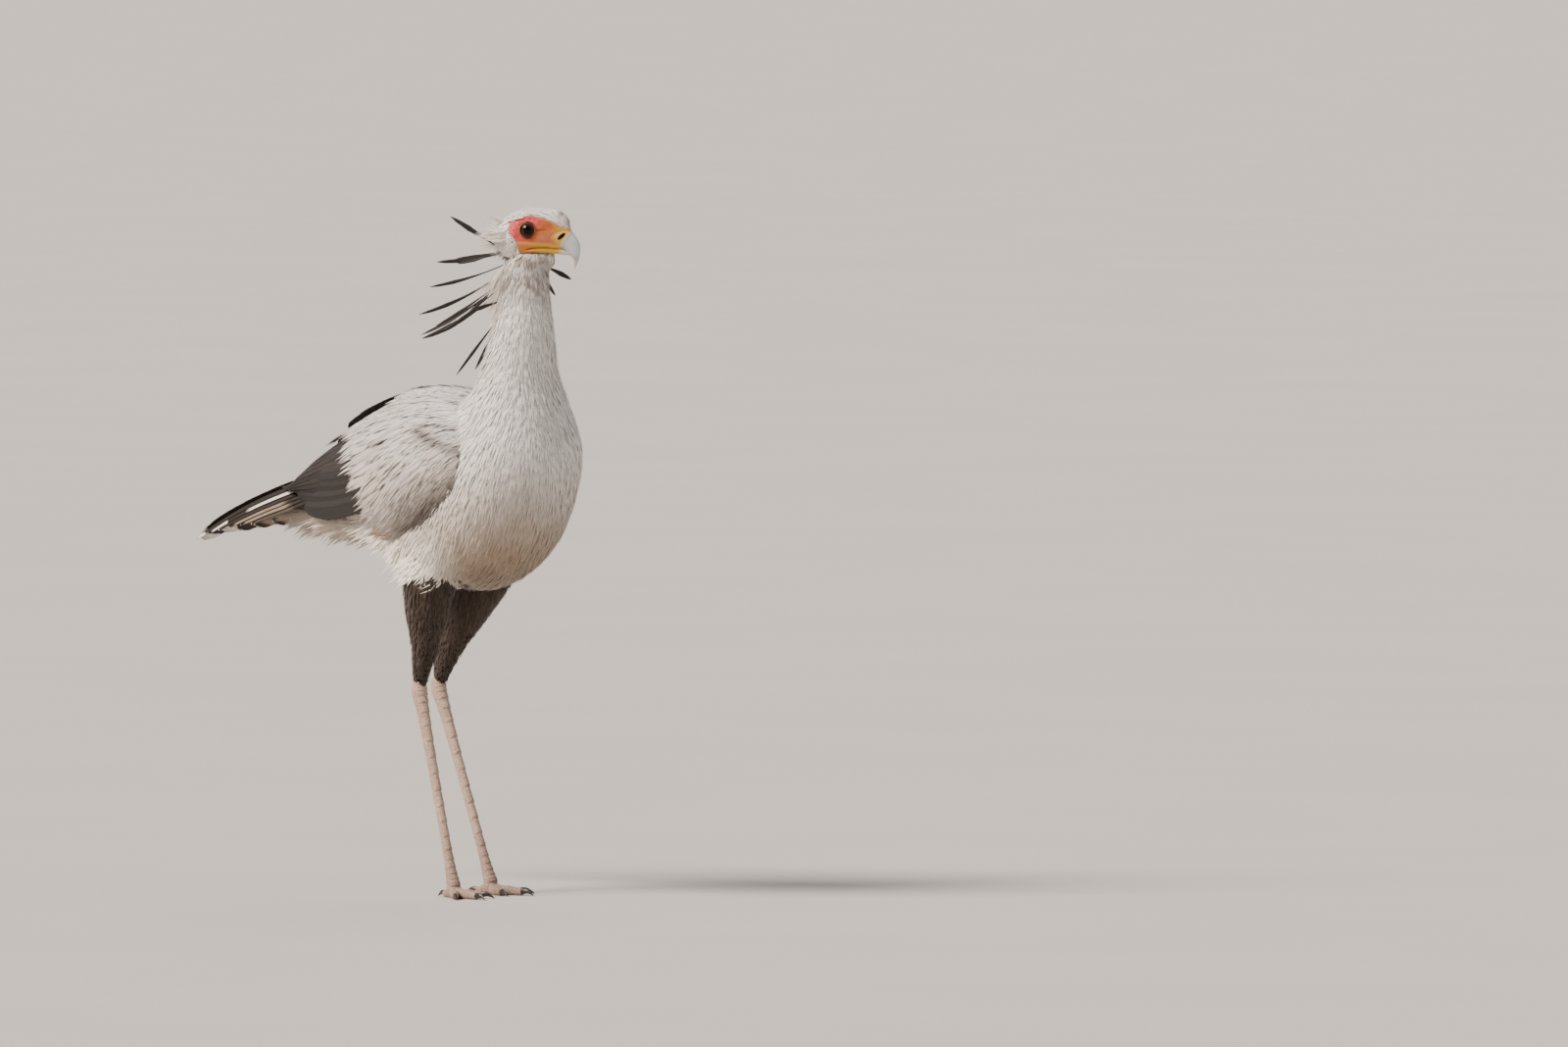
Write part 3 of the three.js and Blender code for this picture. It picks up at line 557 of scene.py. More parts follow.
head = swell("head_skin", profile(SKULL, -HEAD_COAT), 180, 150)
form = points_of(head)
middle = np.array([0.0, 0.0, -0.006])
outward = unit((form - middle) * np.array([0.6, 1.2, 1.0]))
bare = inside(form[:, [0, 2]], FACE) & (form[:, 0] < 0.064)
form += outward * (fold(form) + np.where(bare, HEAD_COAT * 0.8, 0))[:, None]
below_mouth = np.interp(form[:, 0], MOUTH[:, 0], MOUTH[:, 1]) - form[:, 2]
tuck = np.clip(below_mouth / 0.002, 0, 1) * np.clip((form[:, 0] + 0.006) / 0.008, 0, 1)
form[:, 1] *= 1 - 0.22 * tuck
set_points(head, form)
modify(head, "SMOOTH", factor=0.4, iterations=1)
bare_layer = head.data.attributes.new("bare", "FLOAT", "POINT")
millimetres_in = edge_distance(points_of(head)[:, [0, 2]], FACE).astype(np.float32) * 1000
bare_layer.data.foreach_set("value", millimetres_in)
turn_head(head)
head_tree = BVHTree.FromObject(head, bpy.context.evaluated_depsgraph_get())

face = Finish("bare face", Roughness=0.5, Specular_IOR_Level=0.35, Subsurface_Weight=0.12,
              Subsurface_Radius=(0.004, 0.0015, 0.0008), Subsurface_Scale=1.0)
seen = face.drawn(HEAD_AT, HEAD_TURN)
x, y, z = face.parts(seen)
from_eye = (x * x + z * z) ** 0.5
mottle = face.noise(seen, 260.0, 5.0, 0.62)
pores = face.noise(seen, 900.0, 3.0)
reds = face.mix(mottle.step(0.3, 0.7), "b0242e", "e25c58")
oranges = face.mix(mottle, "b84a1e", "e08040")
salmon = face.mix(mottle, "c9663a", "e39464")
yellows = face.mix(mottle, "dd9a2c", "efbe58")
ahead = (x + z * -0.55 + (mottle - 0.5) * 0.012).step(0.003, 0.021)
colour = face.mix(ahead, reds, oranges)
colour = face.mix((x - 0.006).step(0.0, 0.012) * (z + 0.001).step(0.0, -0.008), colour, salmon)
colour = face.mix((x + (mottle - 0.5) * 0.008).step(0.032, 0.050), colour, yellows)
colour = face.mix((z + x * 0.06 + (mottle - 0.5) * 0.004).step(-0.0165, -0.0205), colour, yellows)
jaw = face.mix(mottle, "c4642a", "e09048")
colour = face.mix(z.step(-0.014, -0.026) * x.step(0.012, -0.004), colour, jaw)
# Painted shade along the crease of the lores, in front of the eye.
crease = abs(z + 0.0002).step(0.0016, 0.0003) * x.step(0.012, 0.015) * x.step(0.034, 0.026)
colour = face.mix(crease * 0.6, colour, "6e2f1c")
rim = (from_eye + (mottle - 0.5) * 0.002).step(0.0145, 0.0118)
colour = face.mix(rim * 0.75, colour, "7c3a24")
plumed = face.mix(mottle, "a79c93", "cfc6be")
bare_depth = face.put("Attribute", {"attribute_name": "bare"}, out=2)
colour = face.mix((bare_depth + (mottle - 0.5) * 2.0).step(0.6, -0.6), colour, plumed)
# Painted shade inside the nostril.
colour = face.mix(nostril_shade(face, x, z), colour, NOSTRIL_SHADE)
face.paint(colour)
cracks = face.put("TexVoronoi", {"feature": "DISTANCE_TO_EDGE"}, Vector=seen, Scale=620.0)
face.bump(mottle * 0.7 + pores * 0.35 + cracks.step(0.0, 0.12) * 0.2, 0.0006)
face.wear(head)
settle(head, "face skin", "head", "face_r", "face_l")

# Eyes: glossy balls, dark brown with a black pupil, each in a ring of dark lid skin with stiff lashes
# along its upper edge. A clear bulge stands in front of the pupil.
EYE = {"radius": 0.0135, "out": 0.020, "iris": 0.0100, "pupil": 0.0066}
LID = {"ring": 0.0112, "thick": 0.0013, "out": 0.0283}
LASHES = {"count": 17, "long": 0.0078, "radius": 0.00032}

for tag, side in SIDES:
    ball = swell("eye_ball_" + tag, oval((0, 0, 0), [EYE["radius"]] * 3), 64, 48)
    form = points_of(ball)
    facing = unit(form) @ np.array([0.10, side, 0.02])
    form *= (1 + 0.035 * np.clip((facing - 0.90) / 0.10, 0, 1) ** 0.8)[:, None]
    set_points(ball, form + np.array([0, side * EYE["out"], 0]))
    eye = Finish("eye " + tag, Roughness=0.08, Specular_IOR_Level=0.14)
    seen = eye.drawn(HEAD_AT, HEAD_TURN)
    x, y, z = eye.parts(seen)
    apart = ((x - 0.0012) * (x - 0.0012) + z * z) ** 0.5
    rays = eye.noise(eye.put("VectorMath", {"operation": "NORMALIZE"}, seen), 14.0, 4.0)
    iris = eye.mix(rays, "1f120a", "452a12")
    colour = eye.mix(apart.step(EYE["pupil"] + 0.0003, EYE["pupil"] - 0.0003), iris, "040404")
    colour = eye.mix(apart.step(EYE["iris"] - 0.0012, EYE["iris"]), colour, "0b0706")
    eye.paint(colour)
    eye.wear(turn_head(ball))
    settle(ball, "eye", "eye_" + tag)

    bpy.ops.object.select_all(action="DESELECT")
    bpy.ops.mesh.primitive_torus_add(major_segments=72, minor_segments=12, major_radius=1, minor_radius=0.25)
    lid = bpy.context.object
    lid.name = lid.data.name = "lid_" + tag
    form = points_of(lid)
    turn = np.arctan2(form[:, 1], form[:, 0])
    beside = np.arctan2(form[:, 2], np.hypot(form[:, 0], form[:, 1]) - 1)
    thick = LID["thick"] * (1 + 0.22 * np.sin(turn))
    ring = LID["ring"] * (1 + 0.05 * np.cos(2 * turn)) + np.cos(beside) * thick
    out = side * (LID["out"] - 0.0006 * np.cos(2 * turn) + np.sin(beside) * thick)
    set_points(lid, np.stack([np.cos(turn) * ring, out, np.sin(turn) * ring * 0.95], 1))
    edit(lid, outwards)
    bpy.ops.object.shade_smooth()
    lid_skin = Finish("lid skin " + tag, Roughness=0.5)
    seen = lid_skin.drawn(HEAD_AT, HEAD_TURN)
    x, y, z = lid_skin.parts(seen)
    lid_grain = lid_skin.noise(seen, 1100.0, 3.0)
    edge = ((x * x + z * z) ** 0.5).step(0.0104, 0.0122)
    lid_skin.paint(lid_skin.mix(edge, "24130d", lid_skin.mix(lid_grain, "7a3d22", "b06a3c")))
    lid_skin.bump(lid_grain, 0.0004)
    lid_skin.wear(turn_head(lid))
    settle(lid, "face skin")

    lashes = []
    for i in range(LASHES["count"]):
        turn = math.radians(22 + 128 * i / (LASHES["count"] - 1))
        root = np.array([math.cos(turn) * 0.0118, side * 0.0289, math.sin(turn) * 0.0112])
        lean = np.array([math.cos(turn) * 0.45 - 0.12, side * 0.62, math.sin(turn) * 0.5])
        rows = []
        for s in (0, 0.35, 0.7, 1):
            bend = np.array([0, 0, 0.22 * s * s])
            point = root + LASHES["long"] * s * (lean + bend)
            radius = LASHES["radius"] * (1.05 - s)
            rows.append((*point, radius, radius))
        lashes.append(swell("lash", limb(rows, (1, 0, 0)), 6, 6))
    only(*lashes)
    bpy.ops.object.join()
    lashes[0].name = lashes[0].data.name = "lashes_" + tag
    bristle = Finish("lash bristle " + tag, Roughness=0.5)
    bristle.paint(bristle.mix(bristle.noise(bristle.drawn(), 900.0), "0b0908", "1d1714"))
    bristle.wear(turn_head(lashes[0]))
    settle(lashes[0], "claw horn")

# Bill: the hooked upper bill, drawn out as one form and parted by a plane into the soft yellow cere with
# its slit nostrils and the pale blue-grey horn, and the lower bill that closes under it.
UPPER_BILL = [
    (0.030, 0.0065, 0.026, -0.0215, 0.0200, 0.6),
    (0.045, 0.0045, 0.038, -0.0235, 0.0172, 0.6),
    (0.058, 0.0020, 0.048, -0.0275, 0.0136, 0.6),
    (0.066, -0.0050, 0.055, -0.0318, 0.0108, 0.6),
    (0.0725, -0.0135, 0.060, -0.0365, 0.0084, 0.6),
    (0.0765, -0.0240, 0.0640, -0.0412, 0.0062, 0.6),
    (0.0768, -0.0350, 0.0665, -0.0458, 0.0042, 0.6),
    (0.0740, -0.0470, 0.067, -0.0490, 0.0026, 0.6),
    (0.0680, -0.0590, 0.0666, -0.0585, 0.0008, 0.5),
]
LOWER_BILL = [
    (-0.013, -0.0302, -0.013, -0.0355, 0.0190, 0.5),
    (0.006, -0.0260, 0.004, -0.0365, 0.0212, 0.5),
    (0.023, -0.0245, 0.022, -0.0365, 0.0182, 0.5),
    (0.037, -0.0260, 0.036, -0.0365, 0.0132, 0.5),
    (0.050, -0.0286, 0.050, -0.0378, 0.0090, 0.5),
    (0.060, -0.0320, 0.060, -0.0388, 0.0054, 0.5),
    (0.0655, -0.0350, 0.065, -0.0392, 0.0022, 0.5),
]
CERE_EDGE = {"point": (0.0575, 0, -0.0115), "normal": (0.80, 0, -0.60)}
CERE_PROUD = 0.0006


def cut(piece, point, normal):
    """Cuts a piece at a plane, drops what is ahead of it and closes the cut."""
    def bisect():
        bpy.ops.mesh.bisect(plane_co=point, plane_no=normal, use_fill=True, clear_outer=True)
    edit(piece, bisect, outwards)


upper = swell("bill_horn", profile(UPPER_BILL), 64, 96)
form = points_of(upper)
keel = np.clip(1 - np.abs(form[:, 1]) / 0.006, 0, 1)
form[:, 0] += 0.0004 * keel
set_points(upper, form)
only(upper)
bpy.ops.object.duplicate()
cere = bpy.context.object
cere.name = cere.data.name = "cere_skin"
edge = Vector(CERE_EDGE["normal"])
cut(cere, CERE_EDGE["point"], edge)
cut(upper, Vector(CERE_EDGE["point"]) - edge * 0.003, -edge)
form = points_of(cere)
middle = np.array([0.045, 0, -0.010])
form += unit(form - middle) * CERE_PROUD
set_points(cere, form)
for tag, side in SIDES:
    (fx, fz), (tx, tz) = NOSTRIL["from"], NOSTRIL["to"]
    aside, deep, half = side * NOSTRIL["side"], NOSTRIL["deep"], NOSTRIL["wide"] / 2
    first, last = (fx, aside, fz, deep, half), (tx, aside, tz, deep, half)
    between = tuple((a + b) / 2 for a, b in zip(first, last))
    slit = swell("nostril", limb([first, between, last]), 24, 20)
    modify(cere, "BOOLEAN", object=slit, operation="DIFFERENCE")
    bpy.data.objects.remove(slit)
for piece in (upper, cere):
    only(piece)
    bpy.ops.object.shade_smooth_by_angle(angle=math.radians(40))
lower = swell("bill_below", profile(LOWER_BILL), 64, 64)

horn = Finish("bill horn", Roughness=0.28, Specular_IOR_Level=0.5, Coat_Weight=0.25, Coat_Roughness=0.2)
seen = horn.drawn(HEAD_AT, HEAD_TURN)
x, y, z = horn.parts(seen)
layers = horn.noise(horn.drawn(HEAD_AT, HEAD_TURN, (1, 1, 0.25)), 240.0, 4.0)
blue = horn.mix(layers, "b8c1ca", "e2e6ea")
tip = horn.mix(layers, "8f7d62", "bfae92")
colour = horn.mix((z * -1 + (layers - 0.5) * 0.006).step(0.032, 0.048), blue, tip)
colour = horn.mix((x + z * -0.55).step(0.090, 0.100) * 0.6, colour, "dcdad4")
horn.paint(colour)
horn.bump(layers, 0.0003)
horn.wear(turn_head(upper))
settle(upper, "bill horn", "bill_upper")

wax = Finish("cere", Roughness=0.42, Specular_IOR_Level=0.4, Subsurface_Weight=0.1,
             Subsurface_Radius=(0.003, 0.0015, 0.0005))
seen = wax.drawn(HEAD_AT, HEAD_TURN)
x, y, z = wax.parts(seen)
grain = wax.noise(seen, 420.0, 4.0)
colour = wax.mix(grain, "dd9a30", "f3c566")
colour = wax.mix((x + (grain - 0.5) * 0.006).step(0.046, 0.034), colour, wax.mix(grain, "c86a30", "e79a58"))
colour = wax.mix((x + z * -0.75).step(0.0625, 0.066), colour, "f1d79c")
# Painted shade inside the nostril.
colour = wax.mix(nostril_shade(wax, x, z), colour, NOSTRIL_SHADE)
wax.paint(colour)
wax.bump(grain, 0.0005)
wax.wear(turn_head(cere))
settle(cere, "cere skin", "cere")

gape = Finish("lower bill", Roughness=0.4, Specular_IOR_Level=0.4)
seen = gape.drawn(HEAD_AT, HEAD_TURN)
x, y, z = gape.parts(seen)
grain = gape.noise(seen, 420.0, 4.0)
gape_orange = gape.mix(grain, "c4702a", "dc9142")
gape_yellow = gape.mix(grain, "cf9a25", "e6bf4c")
pale_horn = gape.mix(grain, "d2cbbd", "e6e2d8")
colour = gape.mix((x + (grain - 0.5) * 0.006).step(0.004, 0.022), gape_orange, gape_yellow)
colour = gape.mix((x + (grain - 0.5) * 0.003).step(0.043, 0.051), colour, pale_horn)
# Painted shade along its top edge, in the line of the mouth under the upper bill.
colour = gape.mix((z + x * 0.20).step(-0.0205, -0.0185) * x.step(0.050, 0.040), colour, "8a5a1c")
gape.paint(colour)
gape.bump(grain, 0.0004)
gape.wear(turn_head(lower))
settle(lower, "cere skin", "bill_lower")

# Legs: the bare shank from the hock down, the foot's pad and its four toes are one scaly skin, with a row
# of broad scutes down the front of the shank and along the top of each toe. The claws are separate.
HOCK = {"r": (-0.050, -0.049, 0.312), "l": (-0.108, 0.047, 0.312)}
FOOT = {"r": (0.028, -0.052, 0.017), "l": (0.004, 0.050, 0.017)}
FOOT_TURN = {"r": math.radians(-9), "l": math.radians(10)}
SHANK_SHARES = (0, 0.12, 0.35, 0.6, 0.82, 0.94, 1)
SHANK_HALVES = [
    (0.0095, 0.0090), (0.0125, 0.0115), (0.0100, 0.0085), (0.0080, 0.0070), (0.0074, 0.0066),
    (0.0074, 0.0068), (0.0090, 0.0086), (0.0115, 0.0110),
]
# Toes: name, turn from straight ahead, length, radius at the root and at the claw.
TOES = [
    ("inner", 33, 0.046, 0.0076, 0.0060),
    ("middle", 1, 0.060, 0.0080, 0.0062),
    ("outer", -32, 0.046, 0.0074, 0.0058),
    ("hind", 176, 0.025, 0.0072, 0.0062),
]
# Claw: how far ahead of the toe's end, height, half width and half height.
CLAW = [
    (-0.004, 0.0054, 0.0036, 0.0046), (0.004, 0.0070, 0.0033, 0.0041), (0.0095, 0.0068, 0.0027, 0.0033),
    (0.015, 0.0046, 0.0017, 0.0021), (0.021, 0.0010, 0.0005, 0.0006),
]
SCUTES = {"shank": 21, "toe": 9, "proud": 0.0009}
LEG_VOXEL = 0.0009


def scuted(rows, over, count, front, spread):
    """A limb whose front carries overlapping plates, each proud at its lower edge."""
    plain = limb(rows, over)
    bare_line = limb([(x, y, z, 1e-5, 1e-5) for x, y, z, _, _ in rows], over)
    def section(along, angle, rim):
        skin_at = plain(along, angle, rim)
        facing = np.cos(angle - front)
        plate = np.clip((facing - spread) / 0.12, 0, 1)
        step = (along * count + 0.12 * facing) % 1
        ends = np.clip(along / 0.12, 0, 1) * np.clip((1 - along) / 0.04, 0, 1)
        rise = SCUTES["proud"] * plate * ends * (step ** 1.5 * 1.2 - 0.35 * (step < 0.12))
        return skin_at + unit(skin_at - bare_line(along, angle, rim)) * rise[:, None]
    return section


for tag, side in SIDES:
    hock, foot = np.array(HOCK[tag]), np.array(FOOT[tag])
    line = [hock + (0.003, 0, 0.016)] + [hock + (foot - hock) * share for share in SHANK_SHARES]
    rows = [(*point, *halves) for point, halves in zip(line, SHANK_HALVES)]
    leg = [swell("leg_skin_" + tag, scuted(rows, (0, -1, 0), SCUTES["shank"], math.pi / 2, 0.3), 48, 330)]
    pad = oval(foot - (0, 0, 0.0054), (0.0120, 0.0120, 0.0116))
    leg.append(swell("pad", pad, 24, 16))
    claws = []
    for toe_name, turn, length, root, end in TOES:
        heading = FOOT_TURN[tag] - side * math.radians(turn)
        ahead = np.array([math.cos(heading), math.sin(heading), 0])
        ground = foot * (1, 1, 0)
        shape = [
            (0.02, 0.011, root, root),
            (0.22, root - 0.0006, root * 0.98, root),
            (0.42, root - 0.0012, root * 0.86, root * 0.86),
            (0.58, end + 0.0004, end + 0.0012, end + 0.0010),
            (0.78, end - 0.0002, end * 0.9, end * 0.9),
            (1, end - 0.0008, end * 0.84, end * 0.84),
        ]
        rows = [
            (*(ground + ahead * length * share + (0, 0, z)), wide, tall)
            for share, z, wide, tall in shape
        ]
        leg.append(swell("toe", scuted(rows, (0, 0, 1), SCUTES["toe"], 0, 0.35), 24, 90))
        rows = [
            (*(ground + ahead * length + ahead * out + (0, 0, z)), wide, tall)
            for out, z, wide, tall in CLAW
        ]
        claw = swell("claw_horn_" + toe_name + "_" + tag, limb(rows), 20, 28)
        claws.append((claw, toe_name))
    only(*leg)
    bpy.ops.object.join()
    leg = leg[0]
    modify(leg, "REMESH", mode="VOXEL", voxel_size=LEG_VOXEL, use_smooth_shade=True)
    modify(leg, "SMOOTH", factor=0.5, iterations=2)
    form = points_of(leg)
    form[:, 2] = np.maximum(form[:, 2], 0)
    set_points(leg, form)
    scales = Finish("leg scales " + tag, Roughness=0.55, Specular_IOR_Level=0.35)
    seen = scales.drawn()
    x, y, z = scales.parts(seen)
    patches = scales.noise(seen, 60.0, 4.0)
    fine = scales.noise(seen, 700.0, 3.0)
    cells = scales.put("TexVoronoi", {"feature": "DISTANCE_TO_EDGE"}, Vector=seen, Scale=330.0)
    groove = cells.step(0.0, 0.14)
    colour = scales.mix(patches, "a98a78", "d9bfac")
    colour = scales.mix((z + (patches - 0.5) * 0.05).step(0.12, 0.02) * 0.5, colour, "8f7666")
    colour = scales.mix((1 - groove) * 0.55, colour, "6d5347")
    scales.paint(colour)
    scales.bump(groove * 0.8 + fine * 0.3, 0.0006)
    scales.wear(leg)
    nodes = ["shank_" + tag, "foot_" + tag] + ["toe_" + toe[0] + "_" + tag for toe in TOES]
    settle(leg, "leg scales", *nodes)
    nail = Finish("claw horn " + tag, Roughness=0.35, Specular_IOR_Level=0.5)
    ridges = nail.noise(nail.drawn(), 500.0, 4.0)
    nail.paint(nail.mix(ridges, "171312", "3d342f"))
    nail.bump(ridges, 0.0003)
    for claw, toe_name in claws:
        form = points_of(claw)
        form[:, 2] = np.maximum(form[:, 2], 0)
        set_points(claw, form)
        nail.wear(claw)
        settle(claw, "claw horn", "claw_" + toe_name + "_" + tag)

# Small feathers of the head, neck, trunk and thighs. Each is a spray of flat, tapered locks of barbs that
# leave its shaft and lie along the coat, laid on the skin from its root and rising a little to its tips.
CHANCE = np.random.default_rng(11)
LOCK_STATIONS = np.array([0.0, 0.36, 0.72, 1.0])
LOCK_SHAPE = np.array([0.75, 1.0, 0.75])
LOCK_BROAD = 1.6
LOCK_THICK = 0.16
SOFTNESS = 0.75
BAKE_PATCH = 0.003
CELLS_AROUND = [(dx, dy, dz) for dx in (-1, 0, 1) for dy in (-1, 0, 1) for dz in (-1, 0, 1)]


def triangles_of(piece):
    piece.data.calc_loop_triangles()
    corners = np.empty(len(piece.data.loop_triangles) * 3, int)
    piece.data.loop_triangles.foreach_get("vertices", corners)
    return corners.reshape(-1, 3)


def mesh_from(name, points, triangles, slot, finish, layers, bake, nodes=(), beds=None, smooth=True):
    """One piece from arrays of many small forms, with its colour layers and its bake map. Where beds
    gives the slope of the coat at each point, it is shaded mostly by that, as soft down is."""
    mesh = bpy.data.meshes.new(name)
    mesh.vertices.add(len(points))
    mesh.vertices.foreach_set("co", points.astype(np.float32).ravel())
    mesh.loops.add(triangles.size)
    mesh.loops.foreach_set("vertex_index", triangles.astype(np.int32).ravel())
    mesh.polygons.add(len(triangles))
    mesh.polygons.foreach_set("loop_start", np.arange(0, triangles.size, 3, dtype=np.int32))
    mesh.polygons.foreach_set("use_smooth", np.full(len(triangles), smooth))
    mesh.update(calc_edges=True)
    if beds is not None:
        own = np.empty(len(points) * 3, np.float32)
        mesh.vertices.foreach_get("normal", own)
        slopes = unit(beds * SOFTNESS + own.reshape(-1, 3) * (1 - SOFTNESS))
        mesh.normals_split_custom_set_from_vertices(slopes.tolist())
    for key, values in layers.items():
        layer = mesh.attributes.new(key, "FLOAT_VECTOR", "POINT")
        layer.data.foreach_set("vector", values.astype(np.float32).ravel())
    map_layer = mesh.uv_layers.new(name="OFBake")
    map_layer.data.foreach_set("uv", bake[triangles.ravel()].astype(np.float32).ravel())
    piece = bpy.data.objects.new(name, mesh)
    bpy.context.scene.collection.objects.link(piece)
    finish.wear(piece)
    settle(piece, slot, *nodes)
    return piece


def locks(centres, ups, halves):
    """Flat tapered locks over lines of points: a ridge and two edges at each, and one point at the tip."""
    count, stations = centres.shape[:2]
    ahead = unit(np.gradient(centres, axis=1))
    across = unit(np.cross(ups, ahead))
    wide = halves[..., None]
    left = centres + across * wide
    ridge = centres + ups * wide * LOCK_THICK
    right = centres - across * wide
    body = np.stack([left, ridge, right], 2)[:, :-1].reshape(count, -1, 3)
    points = np.concatenate([body, centres[:, -1:]], 1)
    faces = [(0, 2, 1)]
    for k in range(stations - 2):
        for a, b in ((0, 1), (1, 2), (2, 0)):
            p, q = 3 * k + a, 3 * k + b
            faces += [(p, q, q + 3), (p, q + 3, p + 3)]
    last, tip = 3 * (stations - 2), 3 * (stations - 1)
    faces += [(last, last + 1, tip), (last + 1, last + 2, tip), (last + 2, last, tip)]
    each = points.shape[1]
    triangles = np.array(faces)[None] + (np.arange(count) * each)[:, None, None]
    beds = np.concatenate([np.repeat(ups[:, :-1], 3, 1), ups[:, -1:]], 1)
    return points.reshape(-1, 3), triangles.reshape(-1, 3), beds.reshape(-1, 3), each


def scatter(piece, spacing, wanted, chance=CHANCE):
    """Places spread evenly on a piece: random ones by area, kept where no earlier one is too near."""
    points, triangles = points_of(piece) - np.array(PLACE), triangles_of(piece)
    a, b, c = (points[triangles[:, k]] for k in range(3))
    area = np.linalg.norm(np.cross(b - a, c - a), axis=1) / 2
    middle = (a + b + c) / 3
    apart = spacing(middle)
    weight = np.where(wanted(middle), area / apart ** 2, 0)
    tries = int(weight.sum() * 5)
    pick = chance.choice(len(triangles), tries, p=weight / weight.sum())
    u, v = chance.random((2, tries, 1))
    flip = u + v > 1
    u, v = np.where(flip, 1 - u, u), np.where(flip, 1 - v, v)
    places = a[pick] + (b[pick] - a[pick]) * u + (c[pick] - a[pick]) * v
    near = spacing(places) * 0.8
    cell = near.max()
    keys = np.floor(places / cell).astype(int)
    kept, grid = [], {}

    def too_near(i, j):
        away = places[i] - places[j]
        return away @ away < near[i] ** 2

    for i, (kx, ky, kz) in enumerate(keys.tolist()):
        if not any(
            too_near(i, j)
            for dx, dy, dz in CELLS_AROUND
            for j in grid.get((kx + dx, ky + dy, kz + dz), ())
        ):
            grid.setdefault((kx, ky, kz), []).append(i)
            kept.append(i)
    return places[kept]


def lie_at(points, guides):
    """The way the coat lies at points, from the guides near them: each a place and a direction."""
    spots, ways = np.array([g[0] for g in guides]), unit(np.array([g[1] for g in guides], float))
    apart = np.linalg.norm(points[:, None] - spots[None], axis=2)
    return unit((1 / (apart ** 3 + 1e-6)) @ ways)


def plumage(name, tree, roots, ways, sizes, count, tone, unrolled, slot, finish, free=None, ragged=0.1,
            gather=0.0, facing=None, shade=None):
    """Feathers of several locks each. Sizes give each feather's length, half width and lift, free how far
    it hangs clear of the coat, gather how far its locks meet at the tip, facing which way free ones face
    and shade how much darker they are at each place."""
    total = len(roots)
    length, half, lift = (np.broadcast_to(size, total).astype(float) for size in sizes)
    free = np.zeros(total) if free is None else free
    normals = np.array([tree.find_nearest(Vector(root))[1] for root in roots])
    ahead = unit(ways - normals * np.sum(ways * normals, 1, keepdims=True) * (1 - free[:, None]))
    aside = unit(np.cross(normals, ahead))
    across = np.linspace(-1, 1, count)[None] + CHANCE.normal(0, 0.5 / count, (total, count))
    start = 0.04 + 0.30 * np.maximum(1 - np.abs(across), 0) * CHANCE.random((total, count))
    end = (1 - 0.34 * np.abs(across) ** 1.8) * (1 + CHANCE.normal(0, ragged, (total, count)))
    stations = len(LOCK_STATIONS)
    share = start[..., None] + (end - start)[..., None] * LOCK_STATIONS
    spread = across[..., None] * (0.28 + 0.72 * LOCK_STATIONS ** 0.7) * (1 - gather * LOCK_STATIONS ** 2)
    spread = spread + CHANCE.normal(0, ragged, (total, count))[..., None] * LOCK_STATIONS ** 2
    out = share * length[:, None, None]
    off = spread * half[:, None, None]
    targets = roots[:, None, None] + ahead[:, None, None] * out[..., None]
    targets = targets + aside[:, None, None] * off[..., None]
    flat = targets.reshape(-1, 3)
    found = [tree.find_nearest(Vector(point)) for point in flat]
    beds = np.array([hit[0] for hit in found]).reshape(targets.shape)
    ups = np.array([hit[1] for hit in found]).reshape(targets.shape)
    hang = (free[:, None, None] * share ** 1.5)[..., None]
    beds = beds * (1 - hang) + targets * hang
    ups = unit(ups * (1 - hang) + normals[:, None, None] * hang)
    camber = 1 - 0.35 * (off / half[:, None, None]) ** 2
    rise = lift[:, None, None] * (0.10 + 0.90 * share ** 1.1) * camber
    rise = rise * (1 + CHANCE.normal(0, 0.12, (total, count)))[..., None]
    centres = beds + ups * rise[..., None]
    wide = half[:, None, None] / count * LOCK_BROAD * LOCK_SHAPE
    wide = wide * (1 + CHANCE.normal(0, 0.15, (total, count)))[..., None]
    wide = np.concatenate([wide, np.zeros((total, count, 1))], 2)
    if facing is not None:
        ups = unit(ups * (1 - hang) + facing[:, None, None] * hang)
    shape = (total * count, stations)
    points, triangles, beds, each = locks(
        centres.reshape(*shape, 3), ups.reshape(*shape, 3), wide.reshape(shape))
    of_lock = lambda values: np.repeat(values.reshape(total * count, -1), each, 0)
    along = np.concatenate([np.repeat(share[..., :-1], 3, 2), share[..., -1:]], 2).reshape(-1)
    place_across = of_lock(np.broadcast_to(across, (total, count)))[:, 0] * 0.5 + 0.5
    feather = np.repeat(CHANCE.random(total), count * each)
    plume = np.stack([along, place_across, feather], 1)
    barb = of_lock(CHANCE.random((total, count)))[:, 0]
    tones = np.repeat(tone(roots), count * each, 0)
    darker = 0.0 if shade is None else shade(points)
    tones = np.stack([tones[:, 0], np.clip(tones[:, 1] + darker, 0, 1), barb], 1)
    bake = np.repeat(unrolled(roots), count * each, 0)
    bake = bake + BAKE_PATCH * (np.stack([place_across, along], 1) - 0.5)
    layers = {"plume": plume, "tone": tones}
    if facing is not None:
        return mesh_from(name, points, triangles, slot, finish, layers, bake, smooth=False)
    return mesh_from(name, points, triangles, slot, finish, layers, bake, beds=beds)


# Unwrap of the trunk: share along its middle line from tail to head, and the angle round it.
body_line = flow(BODY, np.linspace(0, 1, 90))
line_middle = np.stack([(body_line[:, 0] + body_line[:, 2]) / 2, (body_line[:, 1] + body_line[:, 3]) / 2], 1)
line_back = unit(body_line[:, :2] - line_middle)


def unroll_body(points):
    away = points[:, None, [0, 2]] - line_middle[None]
    station = np.argmin(np.sum(away ** 2, 2), 1)
    back = np.sum((points[:, [0, 2]] - line_middle[station]) * line_back[station], 1)
    angle = np.arctan2(points[:, 1], back)
    return np.stack([0.5 + 0.48 * angle / math.pi, 0.02 + 0.96 * station / (len(body_line) - 1)], 1)


def head_places(points):
    """Points of the bird in the head's own frame."""
    return (points - np.array(HEAD_AT)) @ HEAD_AXES


